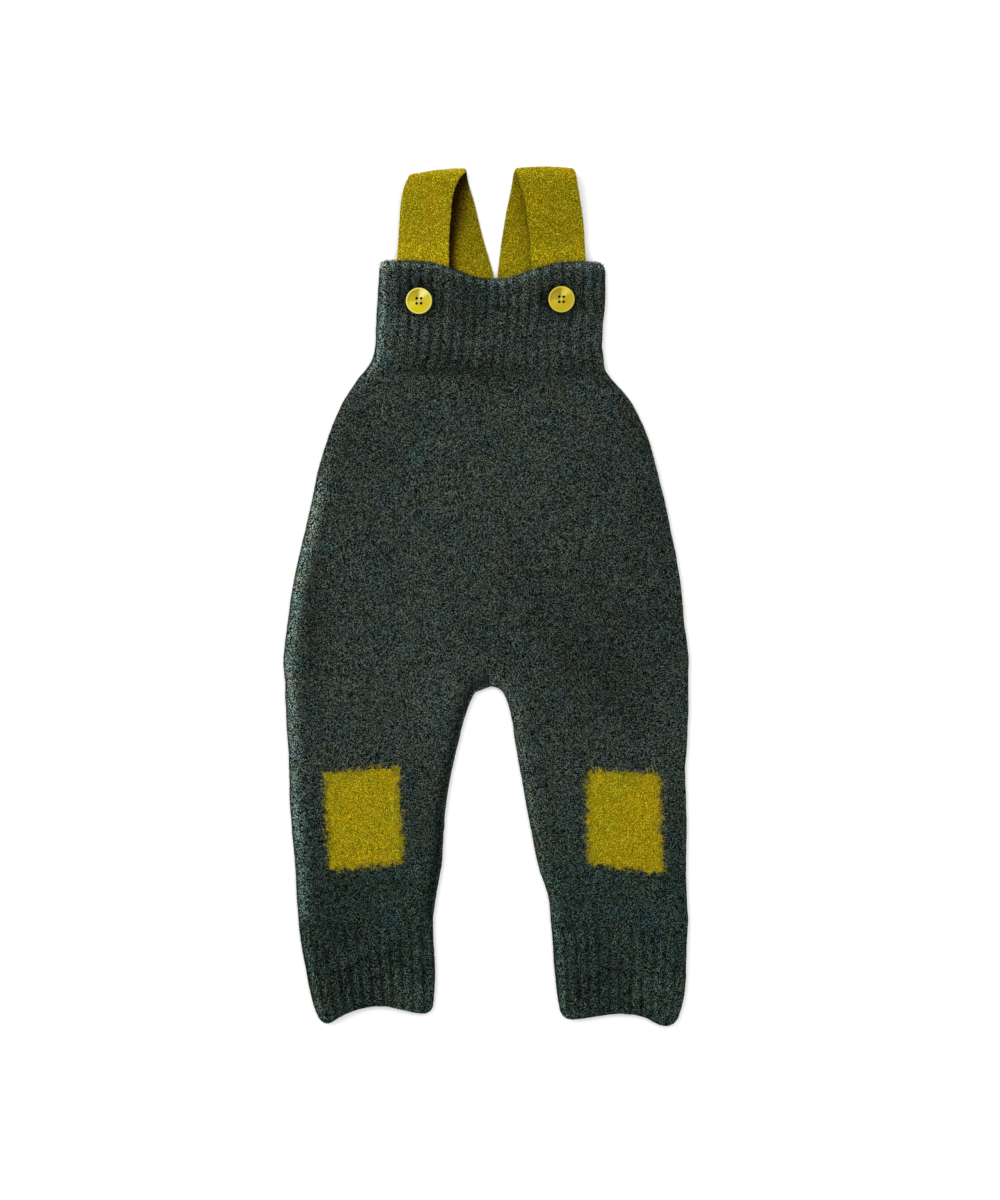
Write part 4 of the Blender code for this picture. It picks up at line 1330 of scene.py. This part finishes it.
def fine_profile():
    """The profile's corners, rounded by a smooth curve through them."""
    numbers = np.arange(len(BUTTON_PROFILE), dtype=float)
    at = np.linspace(0.0, numbers[-1], (len(numbers) - 1) * BUTTON_STEPS + 1)
    radius = smooth(numbers, column(BUTTON_PROFILE, "radius"), at)
    height = smooth(numbers, column(BUTTON_PROFILE, "height"), at)
    return list(zip(np.maximum(radius, 0.0), height))


def build_button(name, material, thread):
    low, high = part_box(name)
    centre = Vector(((low.x + high.x) / 2, (low.y + high.y) / 2, low.z))
    points, faces = turned(fine_profile(), BUTTON_SIDES)
    mesh = bpy.data.meshes.new(name)
    mesh.from_pydata([Vector(point) * MM * BUTTON_SCALE for point in points], [], faces)
    mesh.materials.append(material)
    piece = add_object(f"{name}_turned", mesh)
    bm = bmesh.new()
    radius, depth = HOLE_RADIUS * MM, DRILL_LENGTH * MM
    for hole_x, hole_y in HOLE_PLACES:
        made = bmesh.ops.create_cone(
            bm, cap_ends=True, segments=HOLE_SIDES, radius1=radius, radius2=radius, depth=depth
        )
        bmesh.ops.translate(bm, verts=made["verts"], vec=Vector((hole_x, hole_y, 0.0)) * MM)
    drills = bpy.data.meshes.new(f"{name}_holes")
    bm.to_mesh(drills)
    bm.free()
    tool = add_object(f"{name}_holes", drills)
    cut = piece.modifiers.new("holes", "BOOLEAN")
    cut.operation = "DIFFERENCE"
    cut.object = tool
    drilled = final_mesh(piece)
    piece.modifiers.clear()
    piece.data = drilled
    bpy.data.objects.remove(tool)
    shade(drilled, BUTTON_SHARP)
    set_tone(drilled, np.tile(BUTTON_TONES[name], (len(drilled.vertices), 1)))
    piece.location = centre
    dress(piece, [name])
    build_thread(f"{name}_thread", centre, thread)


def build_thread(name, centre, material):
    """Two crossed stitches through the four holes, each of two strands."""
    curve = bpy.data.curves.new(name, "CURVE")
    curve.dimensions = "3D"
    curve.bevel_depth = THREAD_RADIUS * MM
    curve.bevel_resolution = 3
    curve.use_fill_caps = True
    for start, top in STITCHES:
        for aside in (-STRAND_ASIDE, STRAND_ASIDE):
            spline = curve.splines.new("POLY")
            spline.points.add(STITCH_POINTS - 1)
            for i in range(STITCH_POINTS):
                share = i / (STITCH_POINTS - 1)
                x = blend(-STITCH_REACH, STITCH_REACH, share) + 2.0 * aside * start
                y = blend(start, -start, share) + 2.0 * aside * STITCH_REACH
                z = blend(THREAD_LOW, top, math.sin(math.pi * share) ** 0.5)
                spline.points[i].co = (x * MM, y * MM, z * MM, 1.0)
    source = add_object(name, curve)
    mesh = final_mesh(source)
    bpy.data.objects.remove(source)
    bm = bmesh.new()
    bm.from_mesh(mesh)
    bmesh.ops.remove_doubles(bm, verts=bm.verts, dist=THREAD_RADIUS * MM / 50)
    bm.to_mesh(mesh)
    bm.free()
    mesh.materials.append(material)
    mesh.shade_smooth()
    piece = add_object(name, mesh)
    piece.location = centre
    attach(piece, BODY)


# Stage


def build_camera():
    """Straight down, so far away that 1000 by 1200 pixels show 650 by 780 mm."""
    x, up = PICTURE_MIDDLE
    camera = add_object("camera", bpy.data.cameras.new("camera"))
    camera.data.lens = LENS
    camera.data.sensor_width = SENSOR
    camera.data.clip_start, camera.data.clip_end = CLIP_START, CLIP_END
    camera.location = Vector((x, up - LENGTH / 2, MIDDLE + PICTURE_HEIGHT * LENS / SENSOR)) * MM
    bpy.context.scene.camera = camera


def add_light(name, location, size, energy, colour):
    lamp = bpy.data.lights.new(name, "AREA")
    lamp.shape = "DISK"
    lamp.size = size
    lamp.energy = energy
    lamp.color = colour
    light = add_object(name, lamp)
    light.location = location
    light.rotation_euler = (-Vector(location)).to_track_quat("-Z", "Y").to_euler()


def build_stage():
    mesh = bpy.data.meshes.new("floor")
    turns = ((-1, -1), (1, -1), (1, 1), (-1, 1))
    corners = [(x * FLOOR_REACH, y * FLOOR_REACH, FLOOR_LEVEL) for x, y in turns]
    mesh.from_pydata(corners, [], [(0, 1, 2, 3)])
    mesh.materials.append(new_material("floor", FLOOR_FINISH)[0])
    floor = add_object("floor", mesh)
    world = bpy.data.worlds.new("studio")
    world.use_nodes = True
    sky = world.node_tree.nodes["Background"]
    sky.inputs["Color"].default_value = (1.0, 1.0, 1.0, 1.0)
    sky.inputs["Strength"].default_value = 1.0
    bpy.context.scene.world = world
    for light in LIGHTS:
        add_light(*light)
    view = bpy.context.scene.view_settings
    view.view_transform = "Standard"
    view.look = "None"
    view.exposure = 0.0
    view.gamma = 1.0


def main():
    build_camera()
    build_stage()
    green = wool_material("green_wool", GREEN)
    knees = wool_material("green_wool_with_knees", GREEN, second=MUSTARD)
    mustard = wool_material("mustard_wool", MUSTARD)
    green_fuzz = wool_material("green_fibres", GREEN, fibres=True)
    knee_fuzz = wool_material("green_fibres_with_knees", GREEN, second=MUSTARD, fibres=True)
    mustard_fuzz = wool_material("mustard_fibres", MUSTARD, fibres=True)

    front, front_skin = build_body("front_body", True, knees)
    back, back_skin = build_body("back_body", False, green)
    bib, bib_skin = build_band("bib_front", True, green)
    bib_back, bib_back_skin = build_band("bib_back", False, green)
    cuffs = [build_cuff(name, cuff, green) for name, cuff in CUFFS.items()]
    straps = [build_strap(name, table, mustard) for name, table in STRAPS.items()]
    horn, thread = button_material(), thread_material()
    for name in BUTTONS:
        build_button(name, horn, thread)

    fuzz("front_body_fuzz", front_skin, knee_fuzz, where=on_trunk, knees=True)
    fuzz("front_legs_fuzz", front_skin, knee_fuzz, where=on_legs, knees=True)
    fuzz("bib_fuzz", bib_skin, green_fuzz)
    fuzz("bib_rim_fuzz", bib_skin, green_fuzz, where=on_rim, drift=RIM_DRIFT)
    for pieces, material in ((cuffs, green_fuzz), (straps, mustard_fuzz)):
        for piece, skin in pieces:
            fuzz(f"{piece.name}_fuzz", skin, material)


main()
